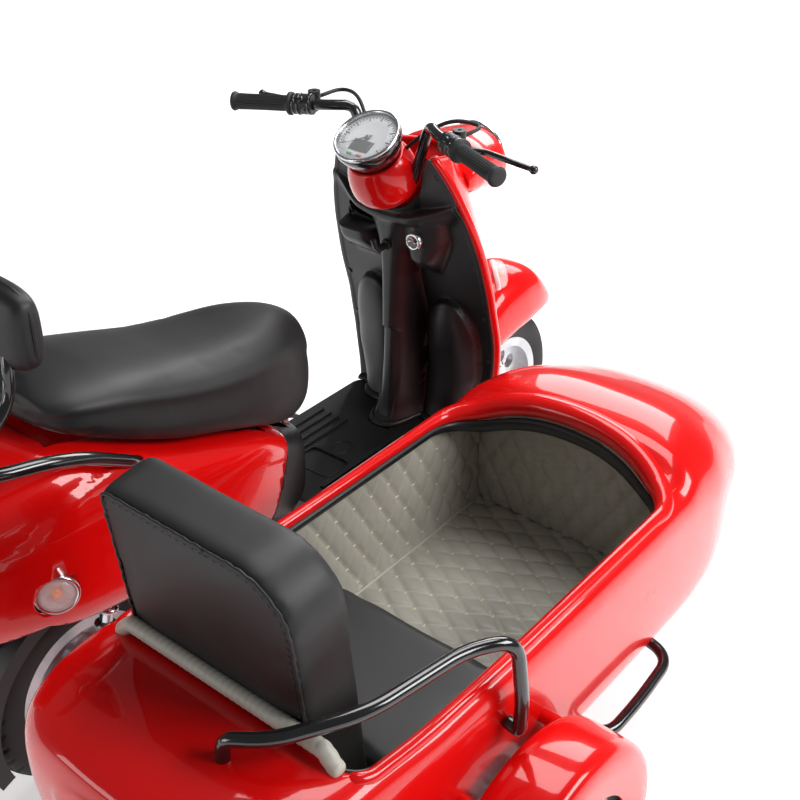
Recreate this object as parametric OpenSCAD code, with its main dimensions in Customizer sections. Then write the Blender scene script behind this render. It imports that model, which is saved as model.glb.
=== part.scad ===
// Step-through motor scooter with a teardrop sidecar on its right side.
// Frame: +X forward, +Y left, +Z up, ground at Z = 0, origin under the middle of the outfit.
// All sizes in millimetres.

/* [Wheels] */
// Distance between the scooter's two axles
wheelbase = 1310; // [1250:5:1370]
// Outer diameter of the three tyres
tyre_d = 410; // [396:2:420]
// Width of the tyres
tyre_w = 84; // [76:1:90]
// Diameter of the wheel's bead seat
rim_d = 258; // [250:1:266]
// Diameter of the wheel axles
axle_d = 15; // [12:0.5:18]
// Windows round each wheel disc
rim_windows = 10; // [6:1:12]

/* [Steering] */
// Angle of the steering axis from the vertical
rake = 28.5; // [27:0.5:30]
// Ground trail of the front wheel
trail = 78; // [66:2:90]
// Width over the ends of the two grips
bar_span = 680; // [640:5:720]
// Height of the inner ends of the grips
bar_h = 1013; // [990:2:1030]
// Diameter of the rubber grips
grip_d = 34; // [30:0.5:38]
// Distance between the two fork legs
fork_gap = 120; // [120:1:126]

/* [Shield and floor] */
// Greatest width of the leg shield
shield_w = 416; // [390:2:440]
// Height of the floorboard's top face
floor_h = 312; // [302:1:322]
// Width of the floorboard
floor_w = 330; // [300:2:350]
// Wall thickness of the moulded panels
panel_t = 5; // [4:0.25:6]

/* [Saddle and tail] */
// Height of the rider's part of the saddle
saddle_h = 752; // [742:1:764]
// Greatest width of the saddle
saddle_w = 296; // [270:2:316]
// Greatest width of the tail panels
body_w = 352; // [336:2:368]
// Length of the tail behind the rear axle
tail_len = 330; // [310:2:350]

/* [Sidecar] */
// Distance of the sidecar wheel from the scooter's centre plane
track = 905; // [890:1:925]
// Lead of the sidecar wheel over the rear axle
wheel_lead = 190; // [150:5:240]
// Distance of the tub's centre plane from the scooter's centre plane
tub_offset = 550; // [544:1:556]
// Greatest width of the tub
tub_w = 540; // [520:2:556]
// Height of the cockpit rim
rim_h = 560; // [540:2:580]
// Height of the tub's underside
tub_floor = 228; // [222:1:236]
// Wall thickness of the tub
tub_t = 6; // [4:0.5:8]
// Thickness of the quilted lining
lining_t = 12; // [9:0.5:15]
// Height of the sidecar's backrest above the ground
back_h = 856; // [830:2:880]

/* [Tubes] */
// Diameter of the scooter's main tube
main_tube_d = 46; // [42:1:50]
// Diameter of the sidecar frame's tubes
frame_tube_d = 36; // [32:1:40]
// Diameter of the hand rails
rail_d = 22; // [18:0.5:25]

/* [Hidden] */

$fn = 48;
eps = 0.3;
run_gap = 0.1;
hull_fn = 28;
tyre_r = tyre_d / 2;
rim_r = rim_d / 2;
axle_r = axle_d / 2;
front_reach = wheelbase + tyre_r;
side_reach = track + tyre_w / 2 + 22;
lever_reach = bar_span / 2 + 18;
origin_x = (front_reach - tail_len - 6) / 2;
origin_y = (lever_reach - side_reach) / 2;
red = [0.78, 0.03, 0.05];
black = [0.06, 0.06, 0.065];
rubber = [0.035, 0.035, 0.04];
silver = [0.72, 0.73, 0.75];
beige = [0.62, 0.57, 0.5];

// Steering axis: local z runs up the column, local x forward and square to it
axis_foot = [wheelbase + trail, 0, 0];
axle_off = tyre_r * sin(rake) - trail * cos(rake);
axle_up = tyre_r * cos(rake) + trail * sin(rake);
yoke_h = axle_up + tyre_r + 22;
head_bottom = yoke_h + 112;
head_top = head_bottom + 170;
clamp_h = (bar_h - 146) / cos(rake);
function on_axis(x, y, h) = axis_foot + [x * cos(rake) - h * sin(rake), y, x * sin(rake) + h * cos(rake)];
module column() translate(axis_foot) rotate([0, -rake, 0]) children();

// Straight bar, cone or hole from point p to point q
module between(p, q, r, r2 = undef) {
  v = q - p;
  translate(p)
    rotate([0, acos(v[2] / norm(v)), atan2(v[1], v[0])])
      cylinder(r1 = r, r2 = is_undef(r2) ? r : r2, h = norm(v));
}
module wheel_axis(x, y) translate([x, y, tyre_r]) rotate([-90, 0, 0]) children();
module mirrored() { children(); mirror([0, 1, 0]) children(); }

// Points of a rounded section: half width a, bottom b, widest height c, top t, corner powers
function spow(v, e) = sign(v) * pow(abs(v), e);
function section(a, b, c, t, low, high, n = hull_fn) = [for (i = [0:n - 1]) let (w = 360 * (i + 0.5) / n)
  sin(w) > 0 ? [a * spow(cos(w), 2 / high), c + (t - c) * spow(sin(w), 2 / high)]
             : [a * spow(cos(w), 2 / low), c + (c - b) * spow(sin(w), 2 / low)]];
// Body of rounded sections; rows are [x, half width, bottom, widest height, top, low, high power]
module lofted(rows, inset = 0, ends = 0)
  for (i = [0:len(rows) - 2])
    between_rings(ring(rows[i], inset, i == 0 ? ends : 0), ring(rows[i + 1], inset, i == len(rows) - 2 ? -ends : 0));
function ring(row, inset, shift) = [for (p = section(max(row[1] - inset, 2), min(row[2] + inset, row[3] - 1), row[3],
  max(row[4] - inset, row[3] + 1), row[5], row[6])) [row[0] + shift, p[0], p[1]]];
module between_rings(a, b) hull()
  polyhedron(points = concat(a, b), faces = [[for (i = [0:len(a) + len(b) - 1]) i]]);

// Closed skin over equal rings of points
function skin_faces(m, n) = concat(
  [for (i = [0:m - 2], j = [0:n - 1]) [i * n + j, i * n + (j + 1) % n, (i + 1) * n + (j + 1) % n]],
  [for (i = [0:m - 2], j = [0:n - 1]) [i * n + j, (i + 1) * n + (j + 1) % n, (i + 1) * n + j]],
  [for (j = [0:n / 2 - 2]) [j, n - 1 - j, j + 1]],
  [for (j = [0:n / 2 - 2]) [j + 1, n - 1 - j, n - 2 - j]],
  [for (j = [0:n / 2 - 2]) let (k = (m - 1) * n) [k + j, k + j + 1, k + n - 1 - j]],
  [for (j = [0:n / 2 - 2]) let (k = (m - 1) * n) [k + j + 1, k + n - 2 - j, k + n - 1 - j]]);
module skin(rings) polyhedron(points = [for (r = rings) each r],
  faces = skin_faces(len(rings), len(rings[0])));

// Bent tube: corner points are rounded by their own bend radius, then swept
function unit(v) = v / norm(v);
function bend(a, b, c, r) = let (u = unit(a - b), v = unit(c - b),
  h = min(r, norm(a - b) * 0.48, norm(c - b) * 0.48))
  [for (k = [0:4]) let (s = k / 4) b + u * h * (1 - s) * (1 - s) + v * h * s * s];
function bent(p, r) = [p[0], for (i = [1:len(p) - 2]) each bend(p[i - 1], p[i], p[i + 1], r), p[len(p) - 1]];
function tangent(p, i) = unit(p[min(i + 1, len(p) - 1)] - p[max(i - 1, 0)]);
function square_to(v, t) = unit(v - t * (v * t));
function carried(p, i) = i == 0 ? square_to(abs(tangent(p, 0)[2]) > 0.9 ? [1, 0, 0] : [0, 0, 1], tangent(p, 0))
  : square_to(carried(p, i - 1), tangent(p, i));
function tube_ring(p, i, r, n) = let (t = tangent(p, i), a = carried(p, i), b = cross(a, t))
  [for (k = [0:n - 1]) p[i] + r * (a * cos(360 * k / n) + b * sin(360 * k / n))];
module tube(points, r, bend_r = 60, n = 12) {
  path = bent(points, bend_r);
  skin([for (i = [0:len(path) - 1]) tube_ring(path, i, r, n)]);
}

/* Wheels */
disc_half = 9;
bead_half = tyre_w / 3;
flange_r = rim_r + 11;
module tyre_ring() color(rubber) rotate_extrude($fn = 96) {
  intersection() {
    translate([tyre_r - tyre_w / 2, 0])
      circle(tyre_w / 2);
    translate([flange_r + eps, -tyre_w])
      square([tyre_r, 2 * tyre_w]);
  }
  translate([rim_r, -bead_half])
    square([flange_r + 2 - rim_r, 2 * bead_half]);
}
// Cast wheel: barrel with two flanges, pierced disc and hub
module cast_rim(hub_r, hub_half) color(silver) difference() {
  union() {
    rotate_extrude($fn = 96) {
      translate([rim_r - 12, -bead_half - 8])
        square([12 - eps, 2 * bead_half + 16]);
      for (s = [-1, 1])
        translate([rim_r - 6, s * (bead_half + 4 + eps) - 4])
          square([flange_r - rim_r + 6, 8]);
      translate([hub_r - 6, -disc_half])
        square([rim_r - hub_r, 2 * disc_half]);
    }
    translate([0, 0, -hub_half])
      cylinder(r = hub_r, h = 2 * hub_half);
  }
  translate([0, 0, -hub_half - 1])
    cylinder(r = axle_r + run_gap, h = 2 * hub_half + 2);
  for (k = [0:rim_windows - 1])
    rotate([0, 0, 360 * k / rim_windows])
      translate([(hub_r + rim_r) / 2 - 4, 0, -disc_half - 1])
        cylinder(r = min((rim_r - hub_r) * 0.29, 190 / rim_windows), h = 2 * disc_half + 2);
}
front_hub = 38;
motor_r = 82;
motor_half = 52;
module front_tyre() wheel_axis(wheelbase, 0) tyre_ring();
module front_rim() wheel_axis(wheelbase, 0) cast_rim(front_hub, 36);
module rear_tyre() wheel_axis(0, 0) tyre_ring();
module rear_rim() wheel_axis(0, 0) cast_rim(motor_r, motor_half);
module sidecar_tyre() wheel_axis(wheel_lead, -track) tyre_ring();
module sidecar_rim() wheel_axis(wheel_lead, -track) cast_rim(front_hub, 36);
module front_axle() color(silver) wheel_axis(wheelbase, 0)
  translate([0, 0, -fork_gap / 2 - 26])
    cylinder(r = axle_r, h = fork_gap + 52);
arm_y = motor_half + 16;
module rear_axle() color(silver) wheel_axis(0, 0)
  translate([0, 0, -arm_y - 24])
    cylinder(r = axle_r, h = 2 * arm_y + 48);

/* Scooter frame */
down_foot = [896, 0, 262];
rail_y = 92;
rail_z = 262;
rail_r = 17;
pivot = [330, 0, 300];
seat_top = [150, rail_y, 560];
module scooter_frame() color(black) {
  difference() {
    union() {
      column() translate([0, 0, head_bottom])
        cylinder(r = 27, h = head_top - head_bottom);
      between(down_foot, on_axis(0, 0, head_bottom + 95), main_tube_d / 2);
      translate(down_foot)
        sphere(main_tube_d / 2 + 1);
      between([down_foot[0] - 10, -rail_y, rail_z], [down_foot[0] - 10, rail_y, rail_z], rail_r - 2);
    }
    column() translate([0, 0, head_bottom - 1])
      cylinder(r = 17.1, h = head_top - head_bottom + 2);
  }
  mirrored() {
    between([down_foot[0] - 10, rail_y, rail_z], [430, rail_y, rail_z], rail_r);
    translate([430, rail_y, rail_z])
      sphere(rail_r + 1);
    between([430, rail_y, rail_z], seat_top, rail_r);
    translate(seat_top)
      sphere(rail_r + 1);
    between(seat_top, [-170, rail_y, 590], rail_r);
    between(pivot + [0, arm_y + 19 + eps, 0], pivot + [0, rail_y + 20, 0], 18);
    between(pivot + [0, rail_y + 13, 0], [400, rail_y + 2, 294], 13);
  }
  for (x = [560, 430])
    between([x, -rail_y, rail_z], [x, rail_y, rail_z], 12);
  between([-150, -rail_y, 588], [-150, rail_y, 588], 12);
  between([seat_top[0], -rail_y, seat_top[2]], [seat_top[0], rail_y, seat_top[2]], 12);
}
module battery_pack() color(black)
  translate([228, -rail_y + rail_r + eps, 335])
    cube([180, 2 * (rail_y - rail_r - eps), 138]);

/* Floor and shield */
floor_front = 1002;
floor_back = 545;
floor_t = floor_h - rail_z - rail_r - eps;
rib_n = 4;
module floor_outline(grow = 0) {
  r = 34;
  w = floor_w / 2 - r + grow;
  translate([floor_back, -w]) square([floor_front - floor_back, 2 * w]);
  for (s = [-1, 1])
    translate([floor_back + r, s * w]) circle(r);
  for (s = [-1, 1])
    translate([floor_front - r, s * w]) circle(r);
  translate([floor_back + r, -w - r]) square([floor_front - floor_back - 2 * r, 2 * w + 2 * r]);
}
module floorboard() color(black) {
  difference() {
    translate([0, 0, floor_h - floor_t])
      linear_extrude(floor_t)
        floor_outline();
    translate([640, -52, floor_h - 4])
      cube([70, 104, 10]);
    translate([864, -32, floor_h - 60])
      cube([200, 64, 100]);
  }
  for (s = [-1, 1], k = [0:rib_n - 1])
    translate([floor_back + 60, s * (floor_w / 2 - 26 - k * 24) - 4, floor_h - 1])
      cube([230, 8, 6]);
}

// Shield rows: [height, half width as a share, x of the edge, depth of the red nose in front of the edge]
shield_rows = [
  [300, 0.80, 1012, 36], [360, 0.90, 1030, 42], [430, 0.97, 1036, 56], [520, 1.00, 1028, 96],
  [620, 1.00, 1004, 140], [720, 0.97, 980, 146], [800, 0.90, 958, 150], [865, 0.80, 940, 152],
  [900, 0.735, 930, 150], [930, 0.665, 920, 146], [960, 0.585, 908, 138]];
shield_n = 10;
shield_steps = 10;
function shield_col(c) = [for (r = shield_rows) [r[0], r[c]]];
shield_low = shield_rows[0][0];
shield_top = shield_rows[len(shield_rows) - 1][0];
// The upper edge rises into a horn on each side of the steering bowl
shield_dip = 38;
function shield_rim(u) = shield_top - shield_dip * (1 - pow(abs(u), 3));
function shield_point(u, z, push) = [
  lookup(z, shield_col(2)) + lookup(z, shield_col(3)) * (1 - pow(abs(u), 2.2)) - push,
  u * lookup(z, shield_col(1)) * shield_w / 2, z];
// The lower edge arches up over the front mudguard
function shield_arch(u) = shield_low + (shield_arch_h - shield_low) * pow(max(0, 1 - pow(abs(u) / 0.72, 4)), 0.5);
shield_arch_h = 590;
// Red apron: a curved sheet, open below for the fork
module leg_shield() color(red)
  shield_sheet(0, panel_t);
module shield_sheet(front, back, lift = 0)
  skin([for (j = [0:2 * shield_n]) let (u = j / shield_n - 1, b = shield_arch(u))
    concat([for (k = [0:shield_steps]) shield_point(u, b + (shield_rim(u) + lift - b) * k / shield_steps, front)],
      [for (k = [shield_steps:-1:0]) shield_point(u * 0.985, b + (shield_rim(u) + lift - b) * k / shield_steps, back)])]);

// Black inner panel: how far its rear face stands behind the apron's edge, as a blend of its forms
function ramp(v, a, b) = let (t = min(1, max(0, (v - a) / (b - a)))) t * t * (3 - 2 * t);
function blend(a, b, k) = (a + b + sqrt((a - b) * (a - b) + k * k) - k * 0.4) / 2;
function dome(d, e) = pow(max(0, 1 - pow(abs(d), e)), 0.5);
function edge_x(z) = lookup(z, shield_col(2));
function panel_half(z) = lookup(z, shield_col(1)) * shield_w / 2 - 4;
// Spine rows: [height, x of its rear face, half width]
spine_rows = [[312, 868, 62], [350, 880, 50], [430, 890, 44], [540, 896, 42], [650, 900, 42], [730, 902, 46], [800, 894, 62], [840, 892, 70]];
function spine_col(c) = [for (r = spine_rows) [r[0], r[c]]];
function spine_out(y, z) = (edge_x(z) - lookup(z, spine_col(1))) * dome(y / lookup(z, spine_col(2)), 3);
// Knee bulges: share of their depth by height
knee_rows = [[312, 0.80], [400, 0.96], [500, 1], [560, 0.86], [596, 0.5], [614, 0]];
knee_depth = 62;
function knee_out(y, z) = knee_depth * lookup(z, knee_rows) * dome((abs(y) - 110) / 60, 2.6);
key = [906, -68, 776];
function key_half(z) = z > key[2] ? 46 : 20 + 26 * ramp(z, key[2] - 100, key[2]);
function key_out(y, z) = (edge_x(z) - key[0]) * ramp(z, key[2] - 104, key[2] - 40) * (1 - ramp(z, key[2] + 34, key[2] + 50))
  * dome((y - key[1]) / key_half(z), 3);
// Pouch of the glove pocket under its window
lip_z = 752;
pouch_y = 100;
function pouch_out(y, z) = 74 * ramp(z, lip_z - 110, lip_z - 20) * (1 - ramp(z, lip_z + 1, lip_z + 6)) * dome((y - pouch_y) / 54, 4);
// Collar under the steering bowl, rising towards the shield's edges
function collar_z(y) = 818 + 56 * pow(abs(y) / 180, 2);
function collar_out(y, z) = (edge_x(z) - 888) * (1 - 0.8 * ramp(abs(y), 60, 190)) * ramp(z, collar_z(y) - 62, collar_z(y) - 6)
  * (1 - ramp(z, collar_z(y), collar_z(y) + 8));
function inner_out(y, z) = blend(blend(blend(11 + 9 * (1 - pow(y / panel_half(z), 2)), spine_out(y, z), 12),
  knee_out(y, z), 10), blend(blend(key_out(y, z), pouch_out(y, z), 6), collar_out(y, z), 8), 8);
function inner_x(y, z) = edge_x(z) - max(2 * panel_t + eps, inner_out(y, z));
panel_n = 14;
// Heights of the panel's rows of points, closer at the lip and the collar
panel_zs = [floor_h + eps, 350, 400, 450, 500, 540, 575, 600, 616, 640, 665, 690, 712, 732, lip_z, lip_z + 7,
  776, 790, 802, 814, 824, 834, 848, 866, 888, 912, 936, shield_top - 2];
function panel_ring(u) = concat([for (z = panel_zs) let (y = u * panel_half(z)) [inner_x(y, z), y, z]],
  [for (k = [len(panel_zs) - 1:-1:0]) let (z = panel_zs[k], y = u * panel_half(z)) [inner_x(y, z) + panel_t, y, z]]);
bowl_r = 74;
// Plugs over the screws along the panel's edges; the screw bosses stand on the apron's back
plug_zs = [476, 588, 718, 921];
module panel_plug(y, z) translate([inner_x(y, z), y, z])
  rotate([0, -90, 0]) {
    hull() {
      translate([0, 0, -3]) cylinder(r = 7, h = 5, $fn = 16);
      translate([0, 0, -3]) cylinder(r = 5, h = 6, $fn = 16);
    }
    translate([0, 0, -50])
      rotate([0, 0, 10]) cylinder(r = 9, h = 48.6, $fn = 6);
  }
module inner_shield() color(black) difference() {
  union() {
    skin([for (j = [0:2 * panel_n]) panel_ring(1 - j / panel_n)]);
    hull() {
      translate([909, pouch_y - 46, lip_z - 12]) cube([87, 92, 64]);
      translate([944, pouch_y - 46, lip_z - 66]) cube([52, 92, 10]);
    }
    for (s = [-1, 1], z = plug_zs)
      panel_plug(s * (panel_half(z) - 13), z);
  }
  hull() {
    translate([913, pouch_y - 42, lip_z - 9]) cube([79, 84, 57]);
    translate([948, pouch_y - 42, lip_z - 62]) cube([44, 84, 10]);
  }
  translate([914, pouch_y - 12, lip_z - 46])
    cube([34, 24, 42]);
  translate([906.4, pouch_y - 12, lip_z - 14])
    cube([12, 24, 30]);
  translate([840, pouch_y - 42, lip_z + 2.5])
    cube([100, 84, 45.5]);
  translate(key - [40, 0, 0])
    rotate([0, 90, 0])
      cylinder(r = 17 + eps, h = 80);
  bowl_sweep();
  shield_sheet(-100, panel_t + eps);
}
module bowl_sweep() column() rotate([0, 0, 2]) rotate_extrude($fn = 44)
  polygon(concat([[0, bowl_h - bowl_low - 8]], bowl_line(bowl_h - bowl_low - 8, bowl_h, -9),
    [[bowl_r + 12, bowl_h + 10], [bowl_r + 20, bowl_h + 27], [bowl_r + 34, bowl_h + 52], [bowl_r + 52, bowl_h + 80],
    [bowl_r + 52, bowl_h + 200], [0, bowl_h + 200]]));
hook_z = 744;
module bag_hook() color(black) {
  translate([872, 0, hook_z])
    rotate([0, 90, 0])
      cylinder(r = 7, h = min(inner_x(0, hook_z - 8), inner_x(0, hook_z + 8)) - 872 - eps);
  translate([872, 0, hook_z])
    sphere(8);
  between([872, 0, hook_z], [862, 0, hook_z + 24], 6);
}
module key_switch() color(silver)
  translate(key - [10, 0, 0])
    rotate([0, 90, 0])
      difference() {
        cylinder(r = 17, h = 26);
        translate([0, 0, -1])
          cylinder(r = 12, h = 5);
      }

/* Steering bowl and headlamp cowl */
bowl_h = clamp_h + 30;
bowl_low = 52;
bowl_high = 100;
bowl_top = bowl_h + 64;
function bowl_at(h, t) = (bowl_r - t) * sqrt(max(0, 1 - pow((h - bowl_h) / ((h < bowl_h ? bowl_low : bowl_high) - t), 2)));
bowl_steps = 14;
function bowl_line(h0, h1, t) = [for (k = [0:bowl_steps]) let (h = h0 + (h1 - h0) * k / bowl_steps) [bowl_at(h, t), h]];
// Round bowl under the gauge; it turns with the handlebar in the panel's dish
module steering_bowl() color(red) difference() {
  column() rotate_extrude($fn = 64) {
    polygon(concat(bowl_line(bowl_h - 44, bowl_top, 0), bowl_line(bowl_top, bowl_h - 44, panel_t - 1)));
    translate([50 + eps, bowl_top - 4])
      square([bowl_at(bowl_top, 0) - 51, 4]);
  }
  mirrored()
    between([clamp[0] - 4, 52, clamp[2] - 18], riser_top + (riser_top - [clamp[0], 60, clamp[2]]) * 0.3, bar_tube + 8);
}
// Rows as for a lofted body
cowl_rows = [
  [1020, 110, 815, 866, 904, 2.4, 3], [1060, 113, 809, 870, 926, 2.4, 3], [1090, 111, 803, 868, 931, 2.3, 2.8],
  [1115, 107, 799, 865, 930, 2.2, 2.6], [1140, 103, 793, 861, 927, 2.1, 2.4], [1170, 98, 786, 856, 924, 2, 2.2],
  [1190, 94, 781, 853, 922, 2, 2.1], [1205, 90, 776, 850, 920, 2, 2], [1214, 84, 780, 850, 916, 2, 2]];
lamp_x = 1204;
lamp_z = 850;
lamp_r = 58;
module headlamp_cowl() color(red) difference() {
  lofted(cowl_rows);
  lofted(cowl_rows, panel_t, panel_t);
  shield_sheet(-eps, 300, 2);
  bowl_sweep();
  translate([lamp_x, 0, lamp_z])
    rotate([0, 90, 0])
      cylinder(r = lamp_r + 1, h = 60, $fn = 2 * hull_fn);
}
module headlamp() color(silver)
  translate([lamp_x - 30, 0, lamp_z])
    rotate([0, 90, 0])
      rotate_extrude() {
        square([lamp_r, 46]);
        translate([0, 40 + eps])
          square([lamp_r + 18, 12]);
      }
module front_indicators() color([0.9, 0.85, 0.75]) difference() {
  mirrored()
    translate([1062, 170, 664])
      rotate([0, 78, 46])
        rotate_extrude() {
          translate([0, -30])
            square([34, 50]);
          translate([0, 19])
            square([28, 8]);
        }
  shield_sheet(-eps, 120);
}

/* Tail */
tail_half = body_w / 2;
// Tail rows: [x, half width as a share, bottom, widest height, top, low, high power]
tail_table = [
  [-tail_len, 0.28, 560, 640, 690, 2.2, 2.2], [-tail_len + 30, 0.50, 510, 630, 716, 2.6, 2.6],
  [-tail_len + 96, 0.74, 462, 610, 744, 3, 3.2], [-130, 0.90, 432, 590, 768, 3.4, 3.6],
  [-46, 0.97, 418, 575, 776, 3.6, 4], [10, 0.99, 412, 565, 762, 3.6, 4.2], [80, 1.00, 404, 550, 728, 3.6, 4.4],
  [180, 0.98, 388, 535, 676, 3.6, 4.6], [290, 0.92, 366, 510, 630, 3.4, 4.8], [400, 0.80, 336, 480, 580, 3.8, 5],
  [490, 0.62, floor_h + eps, 440, 524, 4, 5], [540, 0.47, floor_h + eps, 420, 496, 4, 4],
  [562, 0.37, floor_h + eps, 410, 482, 3.6, 3.6], [574, 0.25, floor_h + 6, 410, 462, 3, 3]];
tail_rows = [for (r = tail_table) [r[0], r[1] * tail_half, r[2], r[3], r[4], r[5], r[6]]];
// Sloping joint between the red tail and the black column under the saddle's nose
module joint_side(gap) translate([398 + gap, -300, 396])
  rotate([0, 30, 0])
    translate([0, 0, -600])
      cube([900, 600, 1400]);
module column_cover() color(black) difference() {
  intersection() {
    lofted(tail_rows);
    joint_side(eps);
  }
  lofted(tail_rows, panel_t + 2, panel_t + 2);
  translate([300, -60, 500])
    cube([180, 120, 140]);
  translate([hinge[0] - 11, -42, hinge_seat])
    cube([60, 84, 40]);
  translate([300, -98, floor_h - 12])
    cube([240, 196, 72]);
}
module tail_body() color(red) difference() {
  lofted(tail_rows);
  lofted(tail_rows, panel_t, 8);
  joint_side(0);
  hull()
    for (p = [[-40, 700], [60, 670], [200, 620], [420, 510]])
      translate([p[0], -98, p[1]]) cube([10, 196, 200]);
  translate([-210, -150, 300])
    cube([700, 300, 190]);
  mirrored()
    translate([-100, 152, 550]) rotate([-90, 0, 28]) cylinder(r = 37 + eps, h = 80, center = true, $fn = hull_fn);
  translate([-tail_len - 20, -60 - eps, 602 - eps])
    cube([60, 120 + 2 * eps, 46 + 2 * eps]);
}
tray_z = 473 + eps;
module underseat_tray() color(black) difference() {
  hull() {
    translate([170, -88, tray_z]) cube([4, 176, 192]);
    translate([410, -88, tray_z]) cube([4, 176, 98]);
  }
  hull() {
    translate([178, -80, tray_z + 8]) cube([4, 160, 300]);
    translate([402, -80, tray_z + 8]) cube([4, 160, 220]);
  }
  mirrored()
    between([430, rail_y, rail_z], seat_top + [-50, 0, 53], rail_r + 3);
}
module tail_lamp() color([0.55, 0.02, 0.03])
  translate([-tail_len - 6, -60, 602])
    cube([44, 120, 46]);
module rear_indicators() color([0.9, 0.6, 0.3]) mirrored()
  translate([-100, 152, 550])
    rotate([-90, 0, 28])
      rotate_extrude() {
        translate([0, -14])
          square([37, 30]);
        translate([0, 15])
          square([31, 9]);
      }
module rear_mudguard() color(black) {
  wheel_axis(0, 0)
    rotate([0, 0, -200])
      rotate_extrude(angle = 118) {
        translate([tyre_r + 24, -60])
          square([6, 120]);
        for (s = [-1, 1])
          translate([tyre_r, s * 57 - 3])
            square([30, 6]);
      }
  translate([-156, -22, 382])
    cube([12, 44, 588 - 12 - eps - 382]);
}
module swing_arm() color(black) {
  mirrored() difference() {
    union() {
      wheel_axis(0, arm_y) translate([0, 0, -9])
        cylinder(r = 26, h = 18);
      between([0, arm_y, tyre_r], [330, arm_y + 4, 300], 15);
      between(pivot + [0, arm_y + 19, 0], pivot + [0, arm_y - 26, 0], 20);
    }
    wheel_axis(0, arm_y) translate([0, 0, -30])
      cylinder(r = axle_r + run_gap, h = 60);
  }
  between([330, -arm_y + 20, 300], [330, arm_y - 20, 300], 16);
}
shock_foot = [-20, rail_y, tyre_r + 18];
shock_head = [75, rail_y, 570];
module rear_shocks() color(silver) mirrored() difference() {
  union() {
    between(shock_foot, shock_head, 12);
    for (k = [0:6])
      translate(shock_foot + (0.32 + 0.085 * k) * (shock_head - shock_foot))
        rotate([0, atan((shock_head[0] - shock_foot[0]) / (shock_head[2] - shock_foot[2])), 0])
          rotate_extrude() translate([15, 0]) circle(5, $fn = 12);
    wheel_axis(-20, arm_y) translate([0, -18, 9 + eps])
      cylinder(r = 15, h = rail_y - arm_y);
  }
  between(seat_top, [-170, rail_y, 590], rail_r + eps);
}
rail_r2 = rail_d / 2;
pad_z = 968;
module grab_rail() color(black) difference() {
  union() {
    tube([[120, -118, 668], [84, -158, 702], [-50, -182, 794], [-200, -162, 822], [-tail_len + 24, -60, 822],
      [-tail_len + 24, 60, 822], [-200, 162, 822], [-50, 182, 794], [84, 158, 702], [120, 118, 668]], rail_r2, 70);
    for (s = [-1, 1])
      tube([[-180, s * 165, 819.5], [-130, s * 96, 829], [-76, s * 88, 866], [-66, s * 88, pad_z - 20]], 9, 50, 10);
  }
  lofted(tail_rows, -eps);
}
module pillion_pad() color(black) difference() {
  hull()
    for (y = [-96, 96], z = [pad_z - 20, pad_z + 44])
      translate([-46, y, z])
        scale([0.9, 1, 1]) sphere(38, $fn = hull_fn);
  for (s = [-1, 1])
    between([-76, s * 88, 866], [-66, s * 88, pad_z - 20 + eps], 9 + eps);
}

/* Saddle */
pan_t = 9;
seat_half = saddle_w / 2;
seat_lift = saddle_h - 752;
hinge = [546, 0, 508];
hinge_seat = 489;
// Saddle rows: [x, half width as a share, bottom, widest height, top, low, high power]
seat_table = [
  [-44, 0.46, 804, 822, 838, 2.4, 2.2], [-34, 0.70, 796, 820, 848, 3, 2.4], [10, 0.90, 772, 812, 850, 5, 2.6],
  [75, 0.98, 736, 796, 842, 6, 2.6], [130, 1.00, 708, 778, 828, 7, 2.6], [200, 1.00, 676, 752, 808, 7, 2.6],
  [300, 0.98, 645, 722, 780, 7, 2.6], [400, 0.92, 610, 702, 762, 6, 2.6], [480, 0.80, 560, 690, 755, 5, 2.5],
  [545, 0.62, 518, 670, 742, 4, 2.4], [586, 0.44, 508, 650, 722, 3, 2.2], [604, 0.26, 530, 640, 698, 2.4, 2.2]];
seat_rows = [for (r = seat_table) [r[0], r[1] * seat_half, r[2] + pan_t + eps, r[3], r[4] + seat_lift, r[5], r[6]]];
// The pan follows the saddle's underside: [x, height of its underside, half width as a share]
pan_rows = [for (i = [1:len(seat_table) - 3]) let (r = seat_table[i]) [r[0], r[2] + 2, r[1] * 0.8]];
module saddle() color(black)
  lofted(seat_rows);
module saddle_pan() color(black) difference() {
  union() {
    for (i = [0:len(pan_rows) - 2])
      hull()
        for (r = [pan_rows[i], pan_rows[i + 1]])
          translate([r[0] - 1, -r[2] * seat_half, r[1]])
            cube([1, 2 * r[2] * seat_half, pan_t - 2]);
    translate([hinge[0], -24, hinge[2]])
      rotate([-90, 0, 0])
        cylinder(r = 9, h = 48);
    translate([hinge[0] - 20, -24, hinge[2] + 3])
      cube([20, 48, 13]);
  }
  translate([hinge[0], -40, hinge[2]])
    rotate([-90, 0, 0])
      cylinder(r = 4 + run_gap, h = 80);
}
module saddle_bracket() color(silver) {
  translate([hinge[0], -40, hinge[2]])
    rotate([-90, 0, 0])
      cylinder(r = 4, h = 80);
  mirrored() {
    translate([hinge[0], 31, hinge[2]])
      rotate([-90, 0, 0])
        cylinder(r = 9, h = 5);
    translate([hinge[0] - 9, 31, hinge_seat + eps])
      cube([14, 5, hinge[2] - hinge_seat - eps]);
  }
}

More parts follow.
